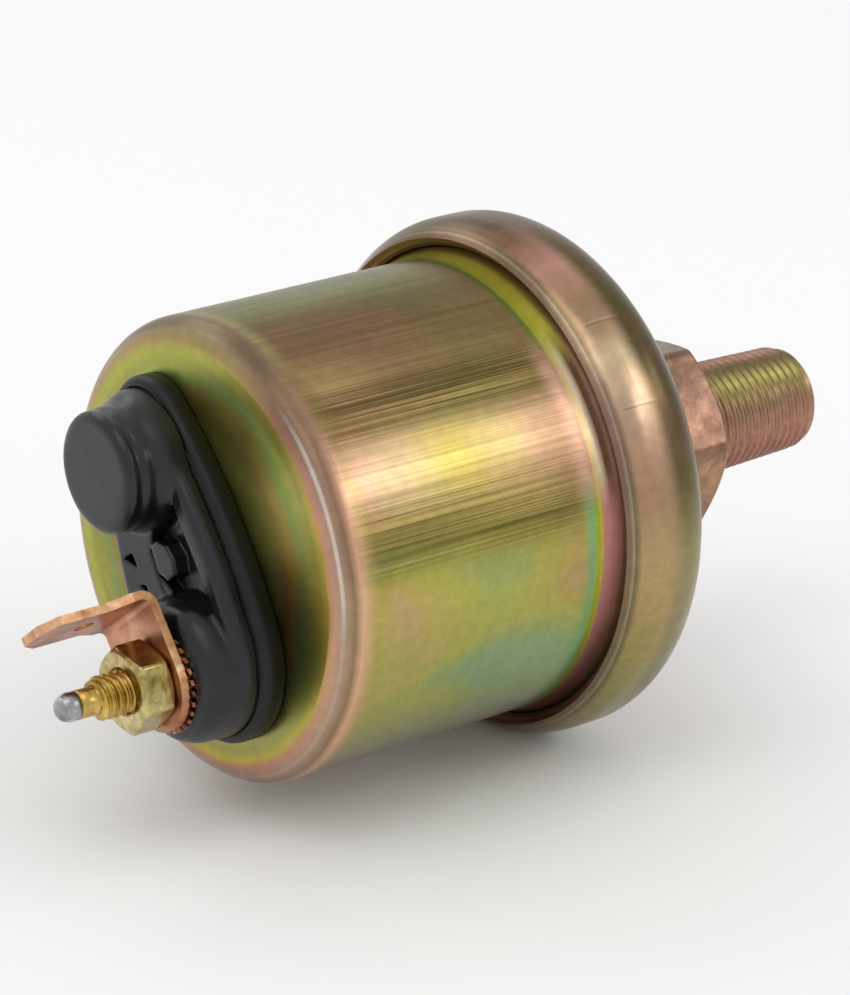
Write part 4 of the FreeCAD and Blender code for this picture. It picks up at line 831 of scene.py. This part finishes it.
def cap_shape(step=0.16):
    """The moulding as a field of distances, taken out as a mesh. x here counts from the can's face."""
    xs = np.arange(-9.0, 1.4, step)
    ps = np.arange(-17.5, 17.5, step)
    qs = np.arange(-10.0, 10.0, step)
    x, p, q = np.meshgrid(xs, ps, qs, indexing="ij")
    endless = -20.0
    from_boss = np.hypot(p - BOSS_OFFSET, q)
    from_stud = np.hypot(p + STUD_OFFSET, q)
    outside = egg_distance(p, q) + 0.95
    plate = smooth_max(outside, -4.15 - x, 1.3)
    # hollow on the right between the boss and the stud's pad
    hollow = prism(p, q, x, [(7.9, 3.9), (5.9, 4.2), (3.4, 4.7), (0.1, 5.4), (-3.9, 5.8), (-7.2, 5.7),
                             (-6.1, 3.2), (-4.15, 0.3), (-1.9, -1.0), (1.8, -1.2), (3.4, 0.4)], endless, 0.1)
    hollow = smooth_max(hollow, x + 2.75, 0.3)
    body = smooth_max(plate, -hollow, 0.35)
    # boss with its foot and a waist between them
    foot = smooth_max(from_boss - 6.1, -5.2 - x, 1.6)
    boss = smooth_max(from_boss - 5.6, -8.08 - x, 1.3)
    waist = np.hypot(from_boss - 6.1, x + 6.75) - 0.72
    boss = smooth_max(boss, -waist, 0.2)
    body = smooth_min(body, foot, 0.5)
    body = smooth_min(body, boss, 0.45)
    # pad round the stud, and the flat seat of its washer
    pad = smooth_max(np.maximum(from_stud - 6.9, outside), -7.05 - x, 2.6)
    seat = smooth_max(from_stud - 4.7, -7.1 - x, 0.15)
    body = smooth_min(smooth_min(body, pad, 0.5), seat, 0.25)
    # lug and bar in the hollow, and two pits
    lug = prism(p, q, x, [(2.0, -0.8), (2.3, 0.5), (1.6, 1.7), (0.2, 2.3), (-1.2, 1.9), (-1.5, 0.4),
                          (-0.5, -0.8)], -4.3, 0.35)
    body = smooth_min(body, lug, 0.15)
    bar = prism(p, q, x, [(-1.2, -1.5), (-0.9, -0.9), (-3.5, 0.9), (-3.9, 0.4)], -4.0, 0.2)
    body = smooth_min(body, bar, 0.1)
    for outline in (((1.8, -6.0), (2.0, -4.3), (0.6, -4.1)), ((-0.9, -4.6), (-1.1, -3.6), (-2.0, -3.5))):
        pit = prism(p, q, x, outline, endless, 0.1)
        body = smooth_max(body, -smooth_max(pit, x + 3.2, 0.1), 0.12)
    body = np.maximum(body, x + 2.2)
    # spigot and peg into the can, and the stud's hole
    for distance in (from_stud - 3.3, from_boss - 2.0):
        body = np.minimum(body, np.maximum(np.maximum(distance, x - 0.8), -5.0 - x))
    body = np.maximum(body, 2.1 - from_stud)
    band = 3.0
    grid = openvdb.FloatGrid(band)
    grid.copyFromArray(np.clip(body / step, -band, band).astype(np.float32))
    points, quads = grid.convertToQuads(0.0)
    verts = [cap_point(X_FACE + xs[0] + a * step, ps[0] + b * step, qs[0] + c * step) for a, b, c in points]
    return verts, [tuple(int(i) for i in quad) for quad in quads]


def egg_ring(inset, x, steps=240):
    """Points round the outline, set in by a distance."""
    lengths = [LOW * (math.pi + 2 * FIRST) / 2, SIDE * (LAST - FIRST), HIGH * (math.pi - 2 * LAST) / 2]
    half = []
    for k in range(steps // 2 + 1):
        s = sum(lengths) * k / (steps // 2)
        if s < lengths[0]:
            a = -math.pi / 2 + s / LOW
            half.append((LOW_AT + (LOW - inset) * math.sin(a), (LOW - inset) * math.cos(a)))
        elif s < lengths[0] + lengths[1]:
            a = FIRST + (s - lengths[0]) / SIDE
            half.append((LOW_AT + RISE + (SIDE - inset) * math.sin(a), (SIDE - inset) * math.cos(a) - DEPTH))
        else:
            a = LAST + (s - lengths[0] - lengths[1]) / HIGH
            half.append((HIGH_AT + (HIGH - inset) * math.sin(a), (HIGH - inset) * math.cos(a)))
    outline = half + [(p, -q) for p, q in half[-2:0:-1]]
    return [cap_point(X_FACE + x, p, q) for p, q in outline]


def gasket():
    """Soft flange, well rounded outside, with a narrow groove where the cap's plate stands on it."""
    profile = rounded([(3.0, 0.0), (0.12, 0.0), (0.0, -0.15), (0.0, -2.12, 0.9), (0.8, -2.16, 0.08),
                       (0.88, -1.7), (1.02, -1.7), (1.06, -2.2), (3.0, -2.2)])
    return rings_mesh([egg_ring(inset, x) for inset, x in profile], True)


piece("terminal_cap_moulding", *cap_shape(), plastic, "terminal_cap", "moulding")
piece("cap_seal_flange", *gasket(), rubber, "cap_seal", "seal")


# Resistance winding
def winding():
    """Turns of fine wire laid side by side round the flat former."""
    low, high = (Vector(corner) * 1000 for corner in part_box("resistance_winding"))
    turns, points_a_turn, wire_sides, wire = 46, 36, 6, 0.09
    corner_power = 0.12
    middle = (low + high) / 2
    half = (high - low) / 2
    path = []
    for k in range(turns * points_a_turn + 1):
        a = 2 * math.pi * k / points_a_turn
        c, s = math.cos(a), math.sin(a)
        round_x = math.copysign(abs(c) ** corner_power, c)
        round_y = math.copysign(abs(s) ** corner_power, s)
        z = low.z + wire + (high.z - low.z - 2 * wire) * k / (turns * points_a_turn)
        path.append(Vector((middle.x + (half.x - wire) * round_x, middle.y + (half.y - wire) * round_y, z)))
    rings = []
    for k, spot in enumerate(path):
        ahead = (path[min(k + 1, len(path) - 1)] - path[max(k - 1, 0)]).normalized()
        side = ahead.cross(Vector((0, 0, 1))).normalized()
        up = side.cross(ahead)
        rings.append([tuple(spot + (side * math.cos(b) + up * math.sin(b)) * wire)
                      for b in (2 * math.pi * j / wire_sides for j in range(wire_sides))])
    rings = [[tuple(path[0])]] + rings + [[tuple(path[-1])]]
    return rings_mesh(rings, False)


piece("resistance_winding_turns", *winding(), winding_metal, "resistance_winding", "winding")


# Studio
def lamp(name, place, target, size, power):
    light = bpy.data.lights.new(name, "AREA")
    light.shape = "RECTANGLE"
    light.size, light.size_y = size
    light.energy = power
    obj = bpy.data.objects.new(name, light)
    bpy.context.scene.collection.objects.link(obj)
    obj.location = place
    obj.rotation_euler = (Vector(target) - Vector(place)).to_track_quat("-Z", "Y").to_euler()


def world():
    """An even pale world; what the camera, metal and glass see of it has a strength of its own."""
    light_strength, shown_strength = 1.0, 1.0
    made = bpy.data.worlds.new("studio")
    made.use_nodes = True
    tree = made.node_tree
    tree.nodes.clear()
    path = tree.nodes.new("ShaderNodeLightPath")
    seen = path.outputs["Is Camera Ray"]
    for kind in ("Is Glossy Ray", "Is Transmission Ray"):
        either = tree.nodes.new("ShaderNodeMath")
        either.operation = "MAXIMUM"
        tree.links.new(seen, either.inputs[0])
        tree.links.new(path.outputs[kind], either.inputs[1])
        seen = either.outputs[0]
    blend = tree.nodes.new("ShaderNodeMixShader")
    tree.links.new(seen, blend.inputs[0])
    for i, strength in ((1, light_strength), (2, shown_strength)):
        ground = tree.nodes.new("ShaderNodeBackground")
        ground.inputs["Strength"].default_value = strength
        tree.links.new(ground.outputs[0], blend.inputs[i])
    output = tree.nodes.new("ShaderNodeOutputWorld")
    tree.links.new(blend.outputs[0], output.inputs[0])
    bpy.context.scene.world = made


def floor():
    """A pale floor just under the part, white to the camera apart from the part's shadow."""
    half, z = 3.0, -0.0243
    mesh = bpy.data.meshes.new("floor")
    corners = [(-half, -half, z), (half, -half, z), (half, half, z), (-half, half, z)]
    mesh.from_pydata(corners, [], [(0, 1, 2, 3)])
    obj = bpy.data.objects.new("floor", mesh)
    bpy.context.scene.collection.objects.link(obj)
    made = bpy.data.materials.new("floor_white")
    made.use_nodes = True
    shader = made.node_tree.nodes["Principled BSDF"]
    shader.inputs["Base Color"].default_value = (0.97, 0.97, 0.97, 1)
    shader.inputs["Roughness"].default_value = 0.9
    mesh.materials.append(made)


def camera():
    """The camera as it was fitted to the rims of the can and of the cup in the photograph."""
    place = (-0.249543, -0.284000, 0.136058)
    down, heading = math.radians(20.779), math.radians(52.190)
    data = bpy.data.cameras.new("camera")
    data.lens = 152.95
    data.sensor_width = 36.0
    data.clip_start = 0.01
    data.clip_end = 20.0
    obj = bpy.data.objects.new("camera", data)
    bpy.context.scene.collection.objects.link(obj)
    obj.location = place
    ahead = Vector((math.cos(down) * math.cos(heading), math.cos(down) * math.sin(heading), -math.sin(down)))
    obj.rotation_euler = ahead.to_track_quat("-Z", "Y").to_euler()
    bpy.context.scene.camera = obj


world()
floor()
lamp("key", place=(0.40, -0.47, 0.39), target=(-0.03, 0, 0), size=(0.5, 0.16), power=0.7)
lamp("top", place=(-0.35, -0.15, 0.6), target=(-0.03, 0, 0), size=(0.4, 0.4), power=0.6)
lamp("back", place=(-0.1, 0.6, 0.5), target=(0, 0, 0), size=(0.6, 0.3), power=0.6)
camera()
bpy.context.scene.view_settings.view_transform = "Standard"
